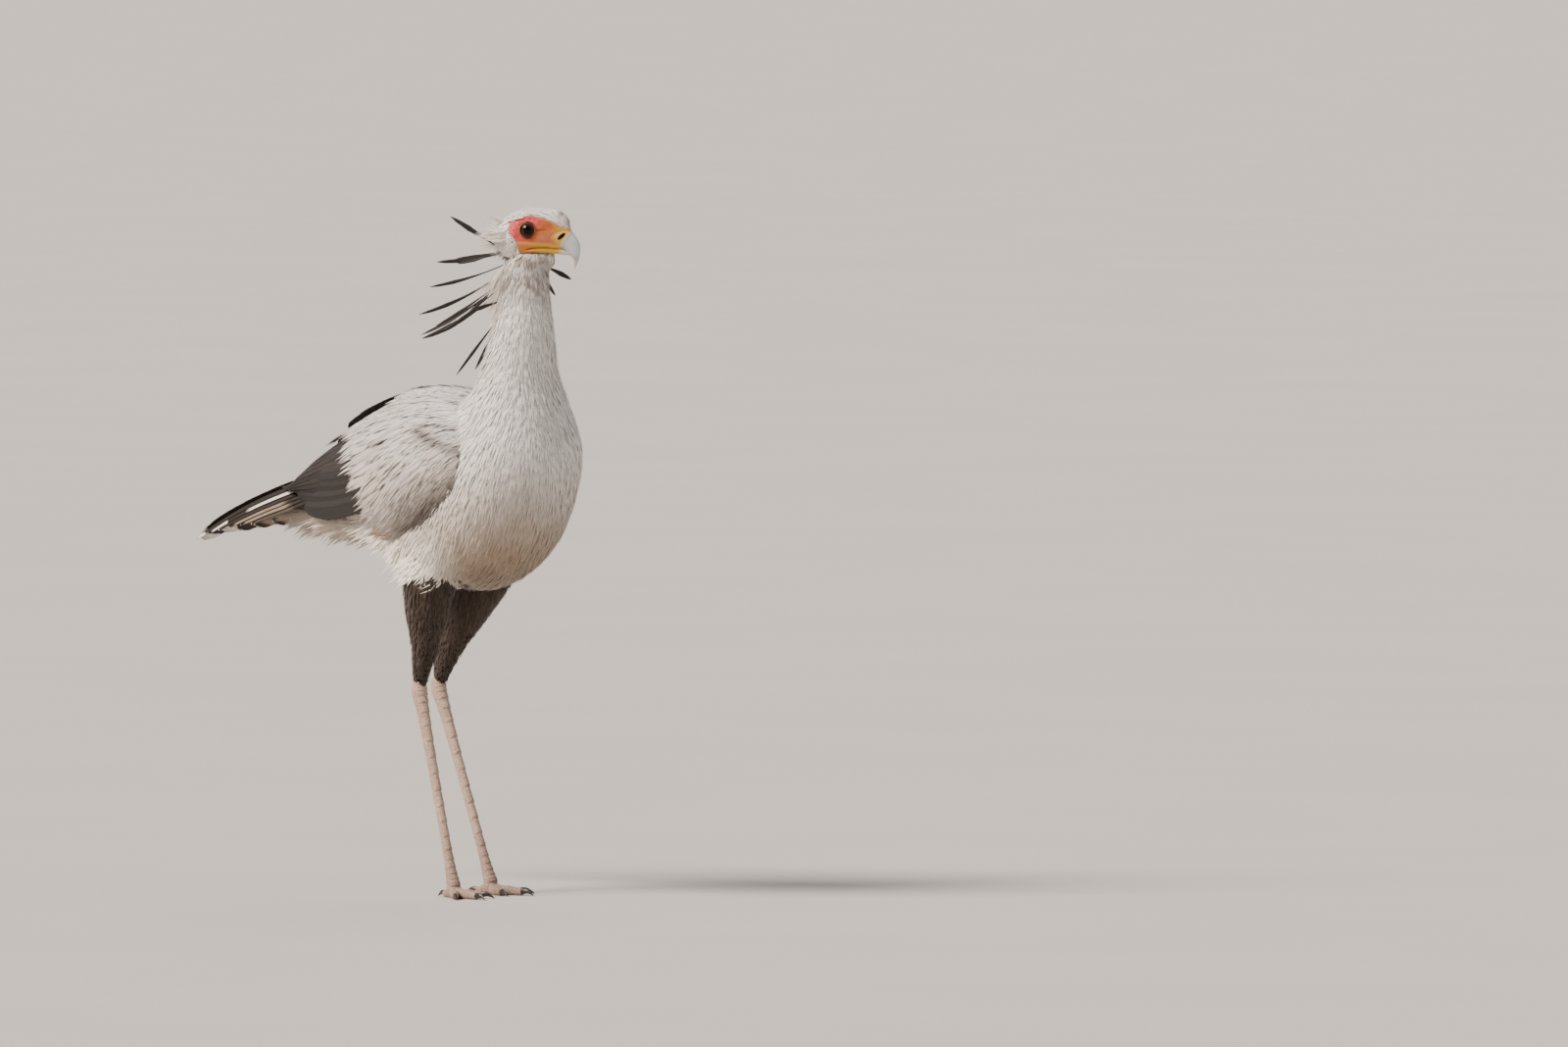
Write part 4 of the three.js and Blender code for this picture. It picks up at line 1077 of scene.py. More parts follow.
def unroll_head(points):
    x, y, z = head_places(points).T
    angle = np.arctan2(y, z + 0.006)
    return np.stack([0.5 + 0.48 * angle / math.pi, np.clip((x + 0.052) / 0.116, 0.02, 0.98)], 1)


def unroll_thigh(points):
    side = np.sign(points[:, 1])
    angle = np.arctan2(points[:, 1] - side * 0.054, points[:, 0] + 0.02)
    up = np.clip((points[:, 2] - 0.30) / 0.28, 0.02, 0.98)
    return np.stack([0.25 + 0.22 * angle / math.pi + 0.25 * (side + 1), up], 1)


def even(*tone):
    """The same tone at every place."""
    return lambda points: np.tile(tone, (len(points), 1))


def both_sides(guides):
    """Guides of the right side and the middle, with the same on the left."""
    return guides + [((x, -y, z), (ahead, -out, up)) for (x, y, z), (ahead, out, up) in guides if y]


# Lie of the coat: a place on the bird and the way its feathers point there.
BODY_LIE = both_sides([
    ((0.165, 0.0, 0.93), (0.0, 0.0, -1)), ((0.095, 0.0, 0.93), (-0.25, 0.0, -1)),
    ((0.13, -0.04, 0.90), (-0.05, -0.05, -1)), ((0.19, 0.0, 0.79), (0.10, 0.0, -1)),
    ((0.06, 0.0, 0.80), (-0.75, 0.0, -0.7)), ((0.13, -0.07, 0.77), (-0.12, -0.25, -1)),
    ((0.21, 0.0, 0.66), (-0.05, 0.0, -1)), ((0.14, -0.10, 0.65), (-0.20, -0.05, -1)),
    ((0.17, 0.0, 0.55), (-0.45, 0.0, -1)), ((0.08, -0.11, 0.55), (-0.55, -0.05, -1)),
    ((0.10, 0.0, 0.48), (-1, 0.0, -0.45)), ((0.0, -0.11, 0.56), (-0.75, -0.1, -0.8)),
    ((-0.04, -0.10, 0.52), (-0.8, -0.1, -0.8)), ((0.09, -0.09, 0.74), (-0.8, -0.1, -0.6)),
    ((0.105, -0.105, 0.66), (-0.5, -0.05, -0.85)), ((0.0, 0.0, 0.47), (-1, 0.0, 0.0)),
    ((-0.12, 0.0, 0.50), (-1, 0.0, 0.15)), ((-0.12, -0.09, 0.60), (-1, 0.0, -0.4)),
    ((0.0, 0.0, 0.76), (-1, 0.0, -0.15)), ((-0.14, 0.0, 0.72), (-1, 0.0, -0.3)),
    ((-0.28, 0.0, 0.65), (-1, 0.0, -0.35)), ((-0.28, 0.0, 0.55), (-1, 0.0, 0.0)),
])
HEAD_LIE = both_sides([
    ((0.050, 0.0, 0.022), (-1, 0.0, 0.5)), ((0.020, 0.0, 0.035), (-1, 0.0, 0.05)),
    ((-0.02, 0.0, 0.030), (-1, 0.0, -0.2)), ((-0.048, 0.0, 0.0), (-0.8, 0.0, -0.6)),
    ((-0.035, 0.0, -0.035), (-0.4, 0.0, -1)), ((-0.02, -0.026, 0.015), (-1, 0.0, -0.35)),
    ((-0.02, -0.028, -0.025), (-0.8, 0.0, -0.6)), ((0.02, -0.02, 0.024), (-1, 0.0, 0.1)),
    ((0.0, 0.0, -0.043), (-0.8, 0.0, -0.5)), ((0.04, 0.0, -0.037), (-1, 0.0, -0.1)),
])
THIGH_LIE = [
    ((0.0, -0.058, 0.50), (-0.2, 0.0, -1)), ((-0.03, -0.055, 0.42), (-0.15, 0.0, -1)),
    ((-0.045, -0.05, 0.34), (-0.2, 0.0, -1)), ((0.0, 0.058, 0.50), (-0.3, 0.0, -1)),
    ((-0.05, 0.053, 0.42), (-0.45, 0.0, -1)), ((-0.10, 0.048, 0.34), (-0.4, 0.0, -1)),
]

down_feather = Finish("body plumage", Roughness=0.85, Specular_IOR_Level=0.15, Sheen_Weight=0.2)
seen = down_feather.drawn()
along, _, feather = down_feather.layer("plume")
cream, dusk, barb = down_feather.layer("tone")
drift = down_feather.noise(seen, 14.0, 4.0)
patches = down_feather.noise(seen, 55.0, 3.0)
height = down_feather.parts(seen)[2]
colour = down_feather.mix(patches, "e8e2dd", "f7f3ef")
# Buff-brown towards the bottom of the trunk: partly dust, partly painted shade under the body.
tan_and_shade = down_feather.mix(patches, "8b6f51", "b09577")
colour = down_feather.mix((height + (drift - 0.5) * 0.12).step(0.69, 0.47) * 0.95, colour, tan_and_shade)
colour = down_feather.mix(cream, colour, down_feather.mix(patches, "efe4d5", "fdf8f0"))
root_shade = along.step(0.5, 0.0) * 0.10 + (1 - barb) * 0.06 + (1 - feather) * 0.06
colour = down_feather.mix(root_shade * (1 - dusk * 0.3), colour, "a8998b")
colour = down_feather.mix(drift.step(0.50, 0.68) * 0.16, colour, "c6b4a2")
# The second tone darkens: grey streaks and crown, and painted shade under the chin, low on the body and
# below the wing's edge.
colour = down_feather.mix(dusk, colour, down_feather.mix(patches, "6c5f55", "96877a"))
down_feather.paint(colour)

black_feather = Finish("thigh plumage", Roughness=0.75, Specular_IOR_Level=0.25, Sheen_Weight=0.12)
along = black_feather.layer("plume")[0]
barb = black_feather.layer("tone")[2]
patches = black_feather.noise(black_feather.drawn(), 40.0, 3.0)
colour = black_feather.mix(patches, "231b17", "40342c")
colour = black_feather.mix(along.step(0.2, 1.0) * 0.5 * barb, colour, "5a4b40")
black_feather.paint(colour)


def on_thigh(points):
    x, y, z = points.T
    top = 0.502 + 0.006 * np.sin(x * 130)
    return (z < 0.455) | ((z < top) & (np.abs(y) > 0.022) & (x > -0.064) & (x < 0.050))


def under_wing(points):
    """What the folded wings cover: far enough up the flank and back of the shoulder."""
    x, y, z = points.T
    shoulder = x < 0.085 - 0.6 * np.abs(z - 0.66)
    return shoulder & (np.abs(y) > 0.035) & (z > 0.60) & (x > -0.26)


def body_spacing(points):
    return np.interp(points[:, 2], [0.46, 0.60, 0.80, 0.98], [0.0105, 0.0100, 0.0076, 0.0060])


def body_wanted(points):
    under_tail = (points[:, 0] < -0.155) & (points[:, 2] > 0.590)
    under_tail |= (points[:, 0] < -0.280) & (points[:, 2] > 0.560)
    return ~on_thigh(points) & ~under_wing(points) & ~under_tail & (points[:, 2] < 0.995)


def body_tone(points):
    x, y, z = points.T
    cream = np.clip((0.60 - z) / 0.05, 0, 1) * np.clip((0.10 - x) / 0.06, 0, 1)
    cream = np.maximum(cream, np.clip((-0.10 - x) / 0.08, 0, 1))
    # Darker under the chin: painted shade under the head, broken by darker streaks.
    throat = np.clip((z - 0.915) / 0.035, 0, 1) * np.clip((x - 0.100) / 0.03, 0, 1)
    blotch = CHANCE.random(len(points)) < 0.30
    dusk = throat * np.where(blotch, 0.74, 0.46) + 0.12 * blotch * np.clip((z - 0.80) / 0.1, 0, 1)
    # Darker at the low front of the belly and of the breast: painted shade under the body, with some dusty
    # buff.
    belly = np.clip((0.57 - z) / 0.07, 0, 1) * np.clip((x - 0.02) / 0.06, 0, 1)
    front = np.clip((0.70 - z) / 0.08, 0, 1) * np.clip((x - 0.09) / 0.08, 0, 1)
    return np.stack([cream, np.clip(dusk + 0.75 * belly + 0.28 * front, 0, 1), z], 1)


def under_wing_shade(points):
    """Shade that the wing's low edge casts on the coat just below it."""
    x, y, z = points.T
    below = np.interp(x, [-0.30, -0.12, -0.05, 0.0], [0.574, 0.568, 0.550, 0.548]) - z
    return 0.6 * np.clip(1 - np.abs(below + 0.004) / 0.024, 0, 1) ** 1.5 * np.clip((-0.01 - x) / 0.04, 0, 1)


roots = scatter(skin, body_spacing, body_wanted)
height = roots[:, 2]
from_axis = unit((roots - np.array([0.132, 0.0, 0.0])) * (1, 1, 0)) + (0, 0, -0.8)
ways = mix(lie_at(roots, BODY_LIE), from_axis, np.clip((height - 0.950) / 0.012, 0, 1)[:, None])
long = np.interp(height, [0.46, 0.56, 0.70, 0.82, 0.98], [0.044, 0.050, 0.044, 0.036, 0.024])
half = np.interp(height, [0.46, 0.70, 0.82, 0.98], [0.0120, 0.0112, 0.0088, 0.0062])
lift = np.interp(height, [0.46, 0.76, 0.84, 0.90, 0.98], [0.0056, 0.0056, 0.0072, 0.0054, 0.0042])
fringe = (roots[:, 0] < 0.02) & (height < 0.53)
behind = (roots[:, 0] < -0.035) & (height < 0.570) & (np.abs(roots[:, 1]) > 0.05)
free = np.where(fringe | behind, 0.6, 0.0)
long = np.where(fringe, long * 0.72, long)
loose = fringe | behind
for name, low, high in (
    ("coat_belly", 0.40, 0.575),
    ("coat_breast", 0.575, 0.70),
    ("coat_neck_low", 0.70, 0.835),
    ("coat_neck", 0.835, 1.0),
):
    chosen = (height > low) & (height <= high) & ~loose
    plumage(name, skin_tree, roots[chosen], ways[chosen], (long[chosen], half[chosen], lift[chosen]), 11,
            body_tone, unroll_body, "breast plumage", down_feather, gather=0.25, shade=under_wing_shade)
beside = np.stack([-0.3 * np.ones(loose.sum()), np.sign(roots[loose][:, 1]), 0.3 * np.ones(loose.sum())], 1)
sizes = (long[loose], half[loose], lift[loose] + 0.001)
plumage("coat_fringe", skin_tree, roots[loose], ways[loose], sizes, 12, body_tone, unroll_body,
        "breast plumage", down_feather, free[loose], ragged=0.16, gather=0.3, facing=unit(beside),
        shade=under_wing_shade)


def thigh_wanted(points):
    return on_thigh(points) & (np.abs(points[:, 1]) > 0.02)


thigh_roots = scatter(skin, lambda points: np.full(len(points), 0.0062), thigh_wanted)
for tag, side in SIDES:
    roots = thigh_roots[thigh_roots[:, 1] * side > 0]
    ways = lie_at(roots, THIGH_LIE)
    long = np.interp(roots[:, 2], [0.32, 0.36, 0.45], [0.012, 0.018, 0.028])
    half = np.interp(roots[:, 2], [0.32, 0.45], [0.0045, 0.0080])
    lift = np.interp(roots[:, 2], [0.34, 0.46], [0.0036, 0.0060])
    plumage("coat_thigh_" + tag, skin_tree, roots, ways, (long, half, lift), 5,
            even(0.0, 0.0, 0.0), unroll_thigh, "thigh plumage", black_feather)

# Head plumage: tiny white feathers from the bill's root back over the crown, longer behind the ear, with a
# dark tuft on the forehead.
def head_wanted(points):
    x, y, z = head_places(points).T
    bare = edge_distance(np.stack([x, z], 1), FACE) > np.where(x < 0.004, 0.0008, -0.0012)
    return ~bare & (x < 0.0625) & ~((z < -0.034) & (x > 0.02))


def head_tone(points):
    x, y, z = head_places(points).T
    chance = CHANCE.random(len(points))
    crown = np.clip((z - 0.020) / 0.008, 0, 1) * np.clip((0.030 - x) / 0.02, 0, 1)
    dusk = crown * (0.10 + 0.30 * (chance < 0.35))
    cheek = np.clip((0.010 - z) / 0.01, 0, 1) * (x < -0.012)
    return np.stack([np.maximum(0.5 * cheek, 0.25), dusk, z], 1)


def forehead_shade(points):
    """Small dark tufts over the brow and at the root of the bill."""
    x, y, z = head_places(points).T
    brow = np.exp(-((x - 0.050) ** 2 + (z - 0.0265) ** 2) / 0.0055 ** 2)
    root = np.exp(-((x - 0.060) ** 2 + (z - 0.014) ** 2) / 0.006 ** 2)
    return 1.3 * brow + 0.7 * root


roots = scatter(head, lambda p: np.full(len(p), 0.0036), head_wanted)
local = head_places(roots)
ways = lie_at(local, HEAD_LIE) @ HEAD_AXES.T
long = np.interp(local[:, 0], [-0.045, -0.02, 0.02, 0.055], [0.027, 0.018, 0.0125, 0.0070])
half = np.interp(local[:, 0], [-0.045, 0.05], [0.0036, 0.0024])
lift = np.interp(local[:, 0], [-0.045, 0.05], [0.0042, 0.0022])
free = np.interp(local[:, 0], [-0.048, -0.022], [0.45, 0])
plumage("coat_head", head_tree, roots, ways, (long, half, lift), 6, head_tone, unroll_head, "breast plumage",
        down_feather, free, ragged=0.14, shade=forehead_shade)

# Wings, folded on the sides: a closed core in the form of the folded wing, rows of grey coverts over it
# that grow towards the back, soft feathers over the shoulder and black flight feathers that come from under
# the coverts, each a closed vane with its shaft. Rows: x, top, widest and low z, half width.
WING = [
    (0.100, 0.744, 0.660, 0.628, 0.110),
    (0.020, 0.764, 0.640, 0.568, 0.124),
    (-0.060, 0.763, 0.628, 0.550, 0.122),
    (-0.140, 0.747, 0.622, 0.574, 0.106),
    (-0.220, 0.714, 0.620, 0.571, 0.084),
    (-0.300, 0.672, 0.620, 0.577, 0.060),
    (-0.380, 0.622, 0.613, 0.608, 0.030),
]
WING_LONG = 0.480
WING_BELOW = 0.120
FAR_WING_LOOSE = 0.012
CORE = {"front": 0.096, "back": (-0.158, -0.066), "outer": -0.004, "inner": -0.016}
FLIGHT = [(0, 0.2), (0.15, 0.6), (0.35, 0.95), (0.72, 1), (0.93, 0.7), (1, 0.12)]
FLIGHT_COUNT = 13
# Where the tips of the flight feathers lie, from the uppermost to the lowest.
FLIGHT_TIPS = ((0, 0.2, 0.45, 0.7, 0.9, 1), (-0.268, -0.345, -0.388, -0.376, -0.345, -0.315))
# Where the roots of the last coverts lie, at the back and at the wing's low edge.
COVERTS_END = {"r": (-0.226, -0.030), "l": (-0.055, -0.040)}
COVERT_ROWS = 21
# Where the breast feathers lie over the wing: x and z of the line, and how far their shade reaches up.
BREAST_OVER_WING = np.array([
    (-0.14, 0.560), (-0.054, 0.5415), (0.023, 0.582), (0.072, 0.607), (0.095, 0.660), (0.100, 0.72),
])
SHADE_REACH = 0.075
# Crease under the shoulder feathers: x and z of its two ends, and its half breadth.
CREASE = {"ends": np.array([(-0.020, 0.718), (0.082, 0.684)]), "half": 0.008}
SHOULDER_FEATHERS = 46
VANE_THICK = 0.0007


def cells(rows, columns):
    """Numbers of the four corners of every cell in a grid of points."""
    number = np.arange(rows * columns).reshape(rows, columns)
    return number[:-1, :-1], number[:-1, 1:], number[1:, 1:], number[1:, :-1]


def sheet(grid, turned=False):
    """A grid of points as a surface to lay feathers on, with its outer face to the other side if turned."""
    a, b, c, d = cells(*grid.shape[:2])
    quads = np.stack([k.ravel() for k in ((a, d, c, b) if turned else (a, b, c, d))], 1)
    return BVHTree.FromPolygons(grid.reshape(-1, 3).tolist(), quads.tolist())


def wing_rows(x):
    """Share of the wing's length at x, and its top, widest and low z and half width there."""
    share = np.clip((WING[0][0] - x) / WING_LONG, 0, 1)
    return share, *np.moveaxis(flow(WING, share), -1, 0)[1:]


def wing_point(side, x, across, lift):
    """A place on the folded wing: x, share of the way from the back to its low edge, height over it."""
    share, top, widest, low, half = wing_rows(x)
    loose = FAR_WING_LOOSE * np.sin(np.pi * share) ** 2 if side > 0 else 0.0
    first = np.arcsin(np.clip(0.004 / half, 0, 1))
    angle = mix(first, np.pi / 2 - np.arcsin(np.clip((low - widest) / WING_BELOW, -1, 1)), across)
    c = np.cos(angle)
    high = np.where(c > 0, top + loose - widest, WING_BELOW)
    return np.stack([x + 0 * c, side * (half + lift) * np.sin(angle), widest + c * (high + lift)], -1)


def plate(grid_out, grid_in):
    """Points and triangles of a closed slab between two grids of points."""
    rows, columns = grid_out.shape[:2]
    count = rows * columns
    number = np.arange(count).reshape(rows, columns)
    rim = np.concatenate([number[0, :-1], number[:-1, -1], number[-1, :0:-1], number[:0:-1, 0]])
    after = np.roll(rim, -1)
    low, low_after = rim + count, after + count
    a, b, c, d = cells(rows, columns)
    e, f, g, h = (corner + count for corner in (a, b, c, d))
    faces = [(a, c, b), (a, d, c), (e, f, g), (e, g, h), (rim, after, low_after), (rim, low_after, low)]
    triangles = np.concatenate([np.stack([p.ravel() for p in face], 1) for face in faces])
    return np.concatenate([grid_out.reshape(-1, 3), grid_in.reshape(-1, 3)]), triangles


def outline_at(outline, share):
    shares, widths = np.array(outline).T
    return np.interp(share, shares, widths)


def vane(spine, up, outline, half, seed, columns=9, split=0.12, camber=0.10, lean=0.5):
    """A flight or tail feather: a closed thin vane with a raised shaft and a ragged, notched edge."""
    chance = np.random.default_rng(seed)
    stations = len(spine)
    share = np.linspace(0, 1, stations)
    ahead = unit(np.gradient(spine, axis=0))
    side = unit(np.cross(up, ahead))
    over = np.cross(ahead, side)
    wide = half * np.maximum(outline_at(outline, share), 0.05)
    j = np.linspace(-1, 1, columns)
    margins = []
    for _ in range(2):
        edge = 1 + chance.normal(0, 0.010, stations)
        for _ in range(chance.integers(1, 4)):
            at, deep = chance.uniform(0.3, 0.95), chance.uniform(0.4, 1) * split
            edge -= deep * np.clip(1 - np.abs(share - at) / 0.012, 0, 1)
        margins.append(edge)
    margin = np.where(j[None] < 0, margins[0][:, None], margins[1][:, None])
    reach = j[None] * np.where(np.abs(j[None]) > 0.9, margin, 1) * wide[:, None]
    reach = reach * np.where(j[None] < 0, 2 * lean, 2 - 2 * lean)
    shaft = np.exp(-(j / 0.16) ** 2)[None] * 0.0009 * (1 - 0.8 * share[:, None])
    sag = -camber * half * (j ** 2)[None] * np.ones((stations, 1))
    thick = VANE_THICK * (1 - 0.6 * np.abs(j) ** 2)[None] * (1 - 0.35 * share[:, None])
    spread = spine[:, None] + side[:, None] * reach[..., None]
    upper = spread + over[:, None] * (sag + thick / 2 + shaft)[..., None]
    under = spread + over[:, None] * (sag - thick / 2 - shaft * 0.4)[..., None]
    points, triangles = plate(upper, under)
    along, across = np.broadcast_arrays(share[:, None], j[None] * 0.5 + 0.5)
    plume = np.stack([along, across, np.full(reach.shape, chance.random())], -1).reshape(-1, 3)
    return points, triangles, np.concatenate([plume, plume])


def feathers(name, made, tones, slot, finish, nodes=()):
    """One piece of several vanes. Their bake maps are strips side by side."""
    rows, start = [], 0
    for i, ((form, faces, plume), value) in enumerate(zip(made, tones)):
        lower = (np.arange(len(form)) >= len(form) // 2) * 0.5
        bake = np.stack([(i + 0.05 + 0.4 * plume[:, 1] + lower) / len(made), 0.02 + 0.96 * plume[:, 0]], 1)
        rows.append((form, faces + start, plume, np.broadcast_to(value, (len(form), 3)), bake))
        start += len(form)
    points, triangles, plumes, tone, bake = (np.concatenate(column) for column in zip(*rows))
    layers = {"plume": plumes, "tone": tone}
    return mesh_from(name, points, triangles, slot, finish, layers, bake, nodes)


def barbs(finish, along, across_vane, grain=0.5):
    """Height of the fine barbs that leave the shaft at a slant."""
    away = abs(across_vane - 0.5)
    return (along * 420.0 - away * 150.0).maths("SINE") * grain


grey_feather = Finish("wing coverts", Roughness=0.8, Specular_IOR_Level=0.15, Sheen_Weight=0.15)
seen = grey_feather.drawn()
along, _, feather = grey_feather.layer("plume")
brown, dusk, barb = grey_feather.layer("tone")
patches = grey_feather.noise(seen, 60.0, 3.0)
drift = grey_feather.noise(seen, 11.0, 3.0)
colour = grey_feather.mix(patches, "ccc8c6", "e6e3e1")
shade = along.step(0.8, 0.1) * 0.26 + (1 - barb) * 0.12 + (1 - feather) * 0.12
colour = grey_feather.mix(shade, colour, "98908b")
colour = grey_feather.mix(drift.step(0.46, 0.66) * 0.30, colour, "bba997")
low = (grey_feather.parts(seen)[2] + (drift - 0.5) * 0.10).step(0.70, 0.62)
colour = grey_feather.mix(low * 0.40, colour, "b9a48f")
# The second tone darkens: random darker feathers, and painted shade under the breast feathers, in the
# shoulder's crease and by the neck.
colour = grey_feather.mix(dusk, colour, "5e5650")
colour = grey_feather.mix((along + (barb - 0.5) * 0.3).step(0.62, 0.95) * brown * 0.75, colour, "99785a")
grey_feather.paint(colour)

flight_feather = Finish("flight feathers", Roughness=0.55, Specular_IOR_Level=0.35)
seen = flight_feather.drawn()
along, across_vane, feather = flight_feather.layer("plume")
patches = flight_feather.noise(seen, 30.0, 3.0)
slant = flight_feather.noise(flight_feather.drawn(scale=(1, 1, 0.2)), 240.0, 3.0)
colour = flight_feather.mix(feather * 0.6 + patches * 0.4, "1c1918", "3c3633")
colour = flight_feather.mix(slant.step(0.5, 0.7) * 0.22, colour, "5f554e")
near_shaft = abs(across_vane - 0.5).step(0.06, 0.02)
colour = flight_feather.mix(near_shaft * 0.5, colour, "1b1716")
edge_light = abs(across_vane - 0.5).step(0.44, 0.5)
colour = flight_feather.mix(edge_light * 0.4, colour, "655b53")
# Darker towards the bottom of the folded wing: painted shade.
low = flight_feather.parts(seen)[2].step(0.650, 0.595)
colour = flight_feather.mix(low * 0.55, colour, "151210")
flight_feather.paint(colour)
flight_feather.bump(barbs(flight_feather, along, across_vane) + slant, 0.0004)


def wing_lay(side):
    """The surface that the coverts lie on, a little wider than the wing."""
    x = np.linspace(0.125, -0.30, 90)[:, None]
    across = np.linspace(-0.02, 1.10, 50)[None]
    grid = wing_point(side, *np.broadcast_arrays(x, across), 0.0)
    grid[:, :, 1] = np.where(side * grid[:, :, 1] < 0.002, side * 0.002, grid[:, :, 1])
    return sheet(grid, side < 0)


def covert_tone(points):
    x, y, z = points.T
    back = np.clip((0.02 - x) / 0.12, 0, 1)
    low_rear = np.clip((0.60 - z) / 0.02, 0, 1) * np.clip((0.03 - x) / 0.03, 0, 1)
    brown = (CHANCE.random(len(points)) < 0.45) * back * 0.6
    brown = brown + 1.3 * low_rear * (CHANCE.random(len(points)) < 0.3)
    # Darker on the upper front coverts by the neck: painted shade.
    shoulder = np.clip((z - 0.690) / 0.03, 0, 1) * np.clip((x - 0.01) / 0.04, 0, 1)
    dusk = CHANCE.random(len(points)) ** 2 * (0.10 + 0.22 * back) + 0.20 * shoulder
    return np.stack([brown, dusk, back], 1)


def covert_shade(points):
    """Shade under the breast feathers that lie over the wing, and in the crease of the shoulder."""
    x, y, z = points.T
    above = z - np.interp(x, *BREAST_OVER_WING.T)
    edge = np.clip(1 - above / SHADE_REACH, 0, 1) ** 1.3
    edge = 0.95 * edge * np.clip((x + 0.09) / 0.06, 0.3, 1) * np.clip((0.685 - z) / 0.06, 0.3, 1)
    (from_x, from_z), (to_x, to_z) = CREASE["ends"]
    crease_z = np.interp(x, [from_x, to_x], [from_z, to_z])
    in_crease = np.exp(-((z - crease_z) / CREASE["half"]) ** 2) * np.clip((x - from_x) / 0.02, 0, 1)
    return edge + 0.7 * in_crease


def unroll_wing(points):
    x, y, z = points.T
    return np.stack([np.clip((0.11 - x) / 0.36, 0.02, 0.98), np.clip((z - 0.53) / 0.25, 0.02, 0.98)], 1)


for tag, side in SIDES:
    share, across = np.broadcast_arrays(np.linspace(0, 1, 60)[:, None], np.linspace(0, 1, 50)[None])
    rear = mix(*CORE["back"], across)
    x = mix(CORE["front"], rear, share)
    edge = np.minimum(np.minimum(across, 1 - across) * 14, np.minimum(CORE["front"] - x, x - rear) / 0.012)
    edge = np.clip(edge, 0, 1)
    bulge = np.sqrt(edge * (2 - edge))
    middle = (CORE["outer"] + CORE["inner"]) / 2
    out = wing_point(side, x, across, mix(middle, CORE["outer"], bulge))
    into = wing_point(side, x, across, mix(middle, CORE["inner"], bulge))
    grids = (out, into) if side < 0 else (into, out)
    points, triangles = plate(*grids)
    plume = np.stack([x * 0 + 0.5, across, across], -1).reshape(-1, 3)
    plume = np.concatenate([plume, plume])
    bake = np.stack([(CORE["front"] - x) / 0.26, across * 0.45], -1).reshape(-1, 2)
    bake = np.concatenate([bake, bake + (0, 0.5)])
    mesh_from("wing_core_" + tag, points, triangles, "wing coverts", grey_feather,
              {"plume": plume, "tone": np.zeros((len(points), 3))}, bake, ["wing_" + tag])

    made = []
    for i in range(FLIGHT_COUNT):
        f = i / (FLIGHT_COUNT - 1)
        share = np.linspace(0, 1, 46)
        tip_x = np.interp(f, *FLIGHT_TIPS)
        x = mix(mix(-0.100, -0.045, f), tip_x, share)
        across = mix(mix(0.20, 0.86, f), mix(0.03, 0.97, f), share)
        raised = 0.019 * (side > 0) * max(1 - 3 * f, 0)
        lift = mix(-0.0125, -0.007, share) + raised
        spine = wing_point(side, x, across, lift)
        beside = wing_point(side, x, across + 0.02, lift) - spine
        up = unit(np.cross(beside, np.gradient(spine, axis=0))) * side
        made.append(vane(spine, up, FLIGHT, 0.018, 100 + 20 * i + (side > 0), lean=0.42))
    feathers("flight_" + tag, made, np.zeros((len(made), 3)), "tail plumage", flight_feather)

    lay = wing_lay(side)
    roots, ways, long, half = [], [], [], []
    for k in range(COVERT_ROWS):
        u = (k + 0.3) / COVERT_ROWS
        size = u ** 0.9
        breadth = mix(0.0085, 0.0155, size)
        count = int(0.230 / (breadth * 1.05))
        for i in range(count):
            a = -0.08 + 1.10 * (i + 0.5 * (k % 2) + CHANCE.normal(0, 0.12)) / count
            rear = mix(COVERTS_END[tag][0], COVERTS_END[tag][1], np.clip(a, 0, 1) ** 0.7)
            root_x = mix(0.100, rear, u + CHANCE.normal(0, 0.012))
            slant = (0.035 + 0.075 * a) * np.clip((1.0 - a) / 0.3, 0.12, 1)
            here = wing_point(side, np.array([root_x, root_x - 0.03]), np.array([a, a + slant]), 0.0)
            roots.append(here[0])
            ways.append(here[1] - here[0])
            long.append(mix(0.030, 0.088, size) * (1 - 0.2 * a) * CHANCE.uniform(0.85, 1.15))
            half.append(breadth)
    roots, ways = np.array(roots), unit(np.array(ways))

    top_rear = np.clip((roots[:, 2] - 0.70) / 0.03, 0, 1) * np.clip((-0.06 - roots[:, 0]) / 0.05, 0, 1)
    lift = CHANCE.uniform(0.0050, 0.0082, len(roots)) * (1 - 0.7 * top_rear * (side < 0))
    plumage("coat_wing_" + tag, lay, roots, ways, (np.array(long), np.array(half), lift), 13, covert_tone,
            unroll_wing, "wing coverts", grey_feather, ragged=0.09, gather=0.5, shade=covert_shade)

    # Shoulder feathers, that lie over the crease.
    roots, ways = [], []
    for _ in range(SHOULDER_FEATHERS):
        f, back = CHANCE.random(2)
        tip = mix(*CREASE["ends"], f) + (0, 0.004 - 0.02 * back)
        root_x = tip[0] + mix(0.030, 0.020, f)
        rise_above = np.clip((tip[1] + 0.040 - 0.66) / 0.11, 0, 0.98)
        a = 1 - np.arcsin(rise_above) / (math.pi / 2) * 0.97
        here = wing_point(side, np.array([root_x, root_x - 0.02]), np.array([0.52, 0.60]) * a, 0.004)
        roots.append(here[0])
        ways.append(here[1] - here[0])
    roots, ways = np.array(roots), unit(np.array(ways))
    long = CHANCE.uniform(0.040, 0.056, len(roots))
    plumage("coat_shoulder_" + tag, lay, roots, ways, (long, 0.011, 0.013), 13, even(0.1, 0.0, 0.0),
            unroll_wing, "wing coverts", grey_feather, ragged=0.12, gather=0.4)

# Mantle: soft grey feathers between the shoulders that close the back where the two wings meet.
MANTLE_FEATHERS = 240


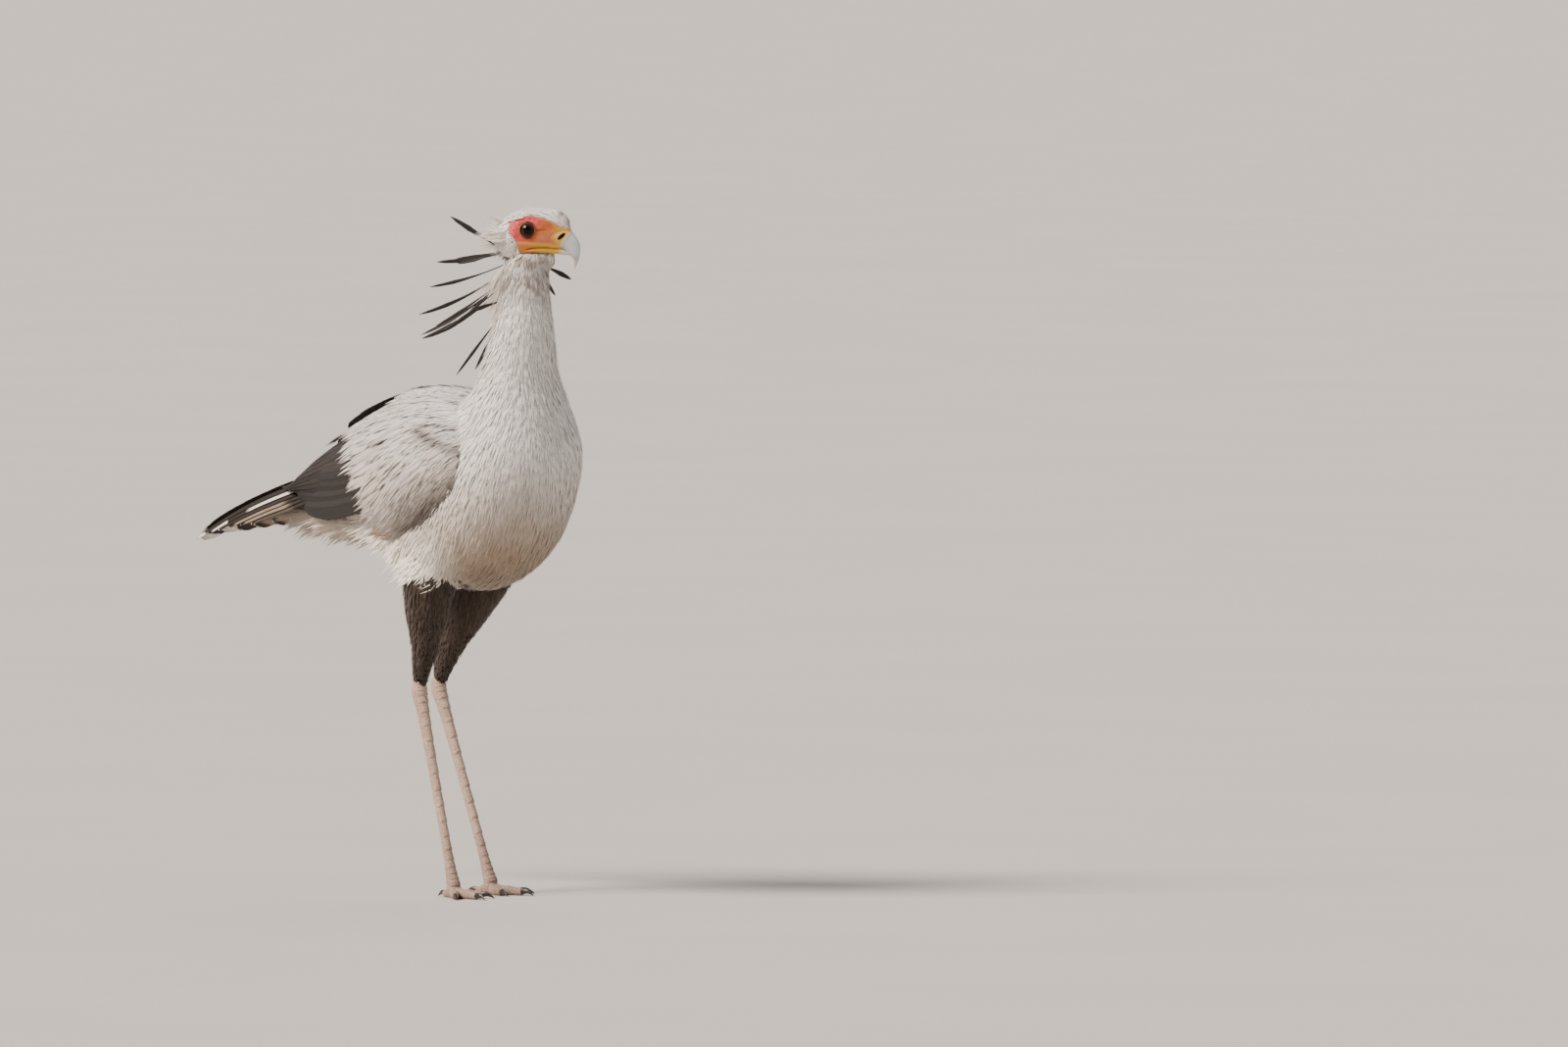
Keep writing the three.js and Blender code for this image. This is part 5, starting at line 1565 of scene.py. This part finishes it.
def back_lay():
    """The surface of both folded wings near the middle of the back."""
    x, y = np.broadcast_arrays(np.linspace(0.13, -0.24, 60)[:, None], np.linspace(-0.055, 0.065, 40)[None])
    share, top, widest, _, half = wing_rows(x)
    loose = FAR_WING_LOOSE * np.sin(np.pi * share) ** 2 * np.clip((y + 0.032) / 0.032, 0, 1)
    z = widest + np.sqrt(1 - (y / (half * 1.02)) ** 2) * (top - widest) + loose
    return sheet(np.stack([x, y, z], -1))


def unroll_mantle(points):
    x, y, z = points.T
    return np.stack([np.clip((0.12 - x) / 0.3, 0.02, 0.98), np.clip((y + 0.06) / 0.12, 0.02, 0.98)], 1)


back = back_lay()
count = MANTLE_FEATHERS
t, f = CHANCE.random(count) ** 0.9, CHANCE.uniform(-1, 1, count)
x = mix(0.110, -0.095, t)
y = f * mix(0.042, 0.026, t)
x = np.where(y > 0.004, np.maximum(x, -0.075 + CHANCE.uniform(-0.01, 0.03, count)), x)
roots = np.array([back.find_nearest(Vector((a, b, 0.76)))[0] for a, b in zip(x, y)])
ways = unit(np.stack([np.full(count, -1.0), f * 0.12, np.full(count, -0.25)], 1))
plumage("coat_mantle", back, roots, ways, (mix(0.040, 0.056, t), mix(0.010, 0.013, t), 0.0036), 12,
        even(0.15, 0.0, 0.0), unroll_mantle, "wing coverts", grey_feather, ragged=0.08)

# Tail: six pairs of long feathers under each other in a flat fan, closed vanes with their shafts. They are
# black, some with a white stripe, a buff vane or a white tip.
TAIL_ROOT = -0.228
TAIL_TIPS = (-0.592, -0.552, -0.528, -0.496, -0.462, -0.430)
TAIL_HALVES = (0.017, 0.018, 0.018, 0.0175, 0.017, 0.016)
RECTRIX = [(0, 0.5), (0.4, 0.95), (0.86, 0.95), (0.96, 0.75), (1, 0.2)]
TAIL_LEAN = math.radians(28)


def tail_top(x):
    """Height of the uppermost tail feathers, which droop to their tips."""
    away = (x - TAIL_ROOT) / (TAIL_TIPS[0] - TAIL_ROOT)
    return 0.653 + (x - TAIL_ROOT) * 0.23 - 0.041 * np.maximum(away, 0) ** 3


tail_feather = Finish("tail feathers", Roughness=0.6, Specular_IOR_Level=0.3)
seen = tail_feather.drawn()
along, across_vane, feather = tail_feather.layer("plume")
stripe, pale_under, pale_tip = tail_feather.layer("tone")
grain = tail_feather.noise(seen, 90.0, 4.0)
wobble = (grain - 0.5) * 0.02
black = tail_feather.mix(grain, "17120f", "322922")
white = tail_feather.mix(grain, "d5d0c9", "f2efe9")
buff = tail_feather.mix(grain, "7c6a5a", "9d8972")
away = abs(across_vane - 0.5)
banded = along + wobble + away * 0.06
outer = (across_vane + wobble).step(0.58, 0.62) * (across_vane + wobble).step(0.97, 0.94)
colour = tail_feather.mix(outer * banded.step(0.76, 0.72) * stripe, black, white)
dark_margin = away.step(0.45, 0.48)
buff_vane = (1 - dark_margin) * banded.step(0.50, 0.58) * banded.step(0.97, 0.93)
colour = tail_feather.mix(buff_vane * pale_under, colour, buff)
colour = tail_feather.mix((banded + pale_tip * 0.12).step(1.0, 1.012), colour, white)
colour = tail_feather.mix(away.step(0.03, 0.01) * 0.5, colour, "171210")
tail_feather.paint(colour)
tail_feather.bump(barbs(tail_feather, along, across_vane) + grain, 0.0004)
# White stripe on the outer web, buff on the vane, length of the white tip: how far each pair has them.
TAIL_MARKS = [(0, 0, 0.4), (1, 0, 1), (0, 0, 0), (0, 1, 0), (0, 1, 0), (0, 0.2, 0.1)]
made, tones = [], []
for pair, (tip_x, half) in enumerate(zip(TAIL_TIPS, TAIL_HALVES)):
    for tag, side in SIDES:
        share = np.linspace(0, 1, 56)
        x = mix(TAIL_ROOT, tip_x, share)
        open_fan = np.minimum(1, 0.66 + 0.6 * share)
        y = side * (0.005 + 0.0076 * pair) * open_fan
        z = tail_top(x) - 0.0082 * pair * open_fan - (0.0 if side < 0 else 0.0016)
        up = np.tile([0, side * math.sin(TAIL_LEAN), math.cos(TAIL_LEAN)], (len(share), 1))
        seed = 700 + 10 * pair + (side > 0)
        points, triangles, plume = vane(np.stack([x, y, z], 1), up, RECTRIX, half, seed)
        if side > 0:
            plume[:, 1] = 1 - plume[:, 1]
        made.append((points, triangles, plume))
        tones.append(TAIL_MARKS[pair])
feathers("tail_vanes", made, np.array(tones), "tail plumage", tail_feather, ["tail"])

# Vent: a thick tuft of cream down that hangs back from under the tail's roots, kept clear of the feathers
# over it.
VENT = {"count": 420, "from": -0.090, "to": -0.320, "tip_z": 0.524}
count = VENT["count"]
f, t = CHANCE.uniform(-1, 1, count), CHANCE.random(count)
x = mix(VENT["from"], VENT["to"], t)
z = np.interp(x, [-0.320, -0.242, -0.184, -0.106], [0.580, 0.560, 0.546, 0.520])
length = mix(0.076, 0.088, t) * CHANCE.uniform(0.85, 1.1, count)
fall = VENT["tip_z"] + 0.016 * f ** 2 + (0.036 * t ** 2 + 0.022) * CHANCE.random(count) + 0.016 * t ** 3 - z
root_y = f * 0.042 * (1 - 0.5 * t)
under_tail = tail_top(x - length) - 0.018 - 1.08 * (np.abs(root_y) + np.abs(f) * 0.12 * length)
fall = np.minimum(fall, under_tail - z - 0.016 * f ** 2)
roots = np.stack([x, root_y, z + 0.016 * f ** 2], 1)
ways = unit(np.stack([np.full(count, -1.0), f * 0.12, fall / length], 1))
aside = unit(np.stack([np.zeros(count), np.sign(f), 0.35 * np.ones(count)], 1))
plumage("coat_vent", skin_tree, roots, ways, (length, 0.012, 0.006), 10, even(0.42, 0.10, 0.0), unroll_body,
        "breast plumage", down_feather, np.full(count, 0.95), ragged=0.08, gather=0.4, facing=aside,
        shade=under_wing_shade)

# Crest: long spatulate black quills that fan out from the nape, some with a pale base, and pale hackles,
# loose bundles of soft barbs, between and below them. Each row: root z, turn from straight back, reach,
# tip z, half width.
NAPE = (0.131, 0.002)
PLUME = [(0, 0.24), (0.35, 0.34), (0.7, 1), (0.9, 0.66), (1, 0.12)]
QUILLS = [
    (0.980, -8, 0.114, 1.037, 0.0042), (0.986, -10, 0.103, 0.966, 0.0044), (0.984, 6, 0.140, 0.967, 0.0040),
    (0.988, 26, 0.128, 0.972, 0.0026), (0.950, -22, 0.140, 0.872, 0.0024), (0.968, -6, 0.146, 0.930, 0.0030),
    (0.962, 14, 0.150, 0.893, 0.0026), (0.958, -14, 0.162, 0.889, 0.0036), (0.948, 2, 0.162, 0.857, 0.0030),
    (0.944, -26, 0.135, 0.862, 0.0022), (0.938, 12, 0.169, 0.850, 0.0044), (0.950, 26, 0.109, 0.888, 0.0036),
    (0.912, -20, 0.088, 0.892, 0.0036), (0.906, -6, 0.106, 0.796, 0.0026), (0.900, 14, 0.084, 0.804, 0.0044),
    (0.966, 64, 0.118, 0.944, 0.0036), (0.966, 128, 0.094, 0.940, 0.0040),
    (0.958, 116, 0.078, 0.915, 0.0040),
]
QUILL_STRAIGHT = 0.110
QUILL_STATIONS = 44
STRAND_STATIONS = 6
HACKLES = [
    (1.008, -18, 0.084, 1.008, 0.0050), (1.012, 16, 0.076, 1.020, 0.0045), (0.994, 0, 0.080, 0.990, 0.0055),
    (0.968, -36, 0.064, 0.906, 0.0065), (0.962, -12, 0.072, 0.892, 0.0070),
    (0.958, 12, 0.072, 0.890, 0.0070),
    (0.966, 38, 0.064, 0.904, 0.0065), (0.930, -26, 0.060, 0.864, 0.0065), (0.926, 0, 0.064, 0.856, 0.0070),
    (0.930, 28, 0.060, 0.864, 0.0065), (0.972, -20, 0.070, 0.915, 0.0080), (0.972, 4, 0.074, 0.908, 0.0085),
    (0.968, 24, 0.070, 0.912, 0.0080), (0.950, -34, 0.058, 0.884, 0.0070), (0.948, -8, 0.068, 0.876, 0.0080),
]
# Tufts of the head, in its own frame: root, tip, half width. Ear feathers, a wisp over them on each side,
# two tufts at the nape, and the loose feathers of the chin and jaw under the bill.
TUFTS = [
    ((-0.026, -0.018, -0.011), (-0.084, -0.027, -0.009), 0.0090),
    ((-0.026, 0.018, -0.011), (-0.080, 0.027, -0.008), 0.0090),
    ((-0.026, -0.010, 0.008), (-0.066, -0.018, 0.022), 0.0026),
    ((-0.026, 0.010, 0.008), (-0.060, 0.018, 0.018), 0.0026),
    ((-0.028, -0.006, 0.008), (-0.058, -0.008, 0.010), 0.0060),
    ((-0.034, 0.000, -0.004), (-0.068, 0.002, -0.004), 0.0070),
    ((0.034, -0.005, -0.036), (0.016, -0.010, -0.078), 0.0065),
    ((0.034, 0.005, -0.036), (0.016, 0.010, -0.078), 0.0065),
    ((0.012, -0.016, -0.036), (0.000, -0.023, -0.078), 0.0075),
    ((0.012, 0.016, -0.036), (0.000, 0.023, -0.078), 0.0075),
]


def nape_line(root_z, turn, reach, tip_z, stations):
    """The line of a quill or hackle from inside the neck. A long one sags, and a short one arches."""
    heading = HEAD_TURN + math.radians(180 - turn)
    flat = np.array([math.cos(heading), math.sin(heading), 0])
    share = np.linspace(0, 1, stations)[:, None]
    root = np.array([*NAPE, root_z]) + flat * 0.024
    tip = np.array([*NAPE, tip_z]) + flat * reach
    sag = (reach - QUILL_STRAIGHT) * np.linalg.norm(tip - root)
    line = mix(root, tip, share)
    line[:, 2:] -= 4 * sag * share * (1 - share)
    return line


quill_feather = Finish("crest quills", Roughness=0.55, Specular_IOR_Level=0.35)
along, across_vane, feather = quill_feather.layer("plume")
pale_base = quill_feather.layer("tone")[0]
grain = quill_feather.noise(quill_feather.drawn(), 160.0, 3.0)
colour = quill_feather.mix(grain, "1c1817", "38302c")
colour = quill_feather.mix((along + (grain - 0.5) * 0.12).step(0.42, 0.28) * pale_base, colour, "a89e96")
quill_feather.paint(colour)
quill_feather.bump(barbs(quill_feather, along, across_vane) + grain, 0.0003)
made, tones = [], []
for i, (root_z, turn, reach, tip_z, half) in enumerate(QUILLS):
    line = nape_line(root_z, turn, reach, tip_z, QUILL_STATIONS)
    ahead = unit(line[-1] - line[0])
    aside = unit(np.cross([0, 0, 1], ahead))
    over = np.cross(ahead, aside)
    lean = math.radians(28 * math.sin(i * 2.4))
    up = aside * math.cos(lean) + over * math.sin(lean)
    made.append(vane(line, np.tile(up, (QUILL_STATIONS, 1)), PLUME, half, 300 + i, 7, 0.10, 0.12))
    tones.append(((i % 3 == 1) * 0.9, 0, 0))
feathers("crest_quills", made, np.array(tones), "tail plumage", quill_feather)

# Strands of each bundle: how many, how far they spread upright, the shortest, how much they curl, how
# broad they are, and how they open from the root. Hackles first, then the wedges of the tufts.
STRANDS = [
    {"count": 64, "upright": 0.5, "short": 0.72, "curl": 0.004, "broad": 0.2},
    {"count": 140, "upright": 1, "short": 0.45, "curl": 0.0022, "broad": 0.16},
]
STRAND_SHAPE = np.array([0.2, 1, 0.9, 0.75, 0.5, 0])
BROADEST_BUNDLE = 0.007
even_shares = np.linspace(0, 1, STRAND_STATIONS)
bundles = [
    (nape_line(root_z, turn, reach - 0.006, tip_z, STRAND_STATIONS), half * 0.75, 0, 0.04)
    for root_z, turn, reach, tip_z, half in HACKLES
]
for root, tip, half in TUFTS:
    line = mix(np.array(root), np.array(tip), even_shares[:, None])
    dark = 0.3 if root[0] > 0 else 0.0
    bundles.append((line @ HEAD_AXES.T + np.array(HEAD_AT), half, 1, dark))
centres, ups, halves, tones = [], [], [], []
for line, half, wedge, dark in bundles:
    kind = STRANDS[wedge]
    ahead = unit(line[-1] - line[0])
    side = unit(np.cross([0, 0, 1], ahead))
    up = np.cross(ahead, side)
    for _ in range(kind["count"]):
        off = CHANCE.uniform(-1, 1)
        over = CHANCE.uniform(-kind["upright"], kind["upright"])
        end = (1 - 0.4 * abs(off)) * CHANCE.uniform(kind["short"], 1.04)
        share = np.linspace(CHANCE.uniform(0, 0.15), end, STRAND_STATIONS)
        path = np.stack([np.interp(share, even_shares, line[:, k]) for k in range(3)], 1)
        wedge_fan = np.interp(share, [0, 0.3, 1], [0.45, 1, 0.15])
        fan = (wedge_fan if wedge else np.sin(np.minimum(share, 1) * math.pi * 0.75))[:, None]
        curl = CHANCE.normal(0, kind["curl"], 3) * share[:, None] ** 2
        path = path + side * off * half * fan + up * over * half * fan + curl
        centres.append(path)
        ups.append(np.tile(unit(up * CHANCE.normal(0, 0.35) + side), (STRAND_STATIONS, 1)))
        halves.append(STRAND_SHAPE * min(half, BROADEST_BUNDLE) * kind["broad"])
        tones.append((0.5, dark * CHANCE.uniform(0.3, 1.7), CHANCE.random()))
points, triangles, _, each = locks(np.array(centres), np.array(ups), np.array(halves))
count = len(centres)
along = np.tile(np.concatenate([np.repeat(even_shares[:-1], 3), [1.0]]), count)
across, strand = (np.repeat(CHANCE.random(count), each) for _ in range(2))
plume = np.stack([along, across, strand], 1)
bake = np.repeat(CHANCE.uniform(0.02, 0.98, (count, 2)), each, 0) + BAKE_PATCH * (plume[:, :2] - 0.5)
layers = {"plume": plume, "tone": np.repeat(np.array(tones), each, 0)}
mesh_from("hackles", points, triangles, "breast plumage", down_feather, layers, bake, smooth=False)

size = {"cad": [list(corner) for corner in cad_box], "visual": [list(corner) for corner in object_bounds()]}
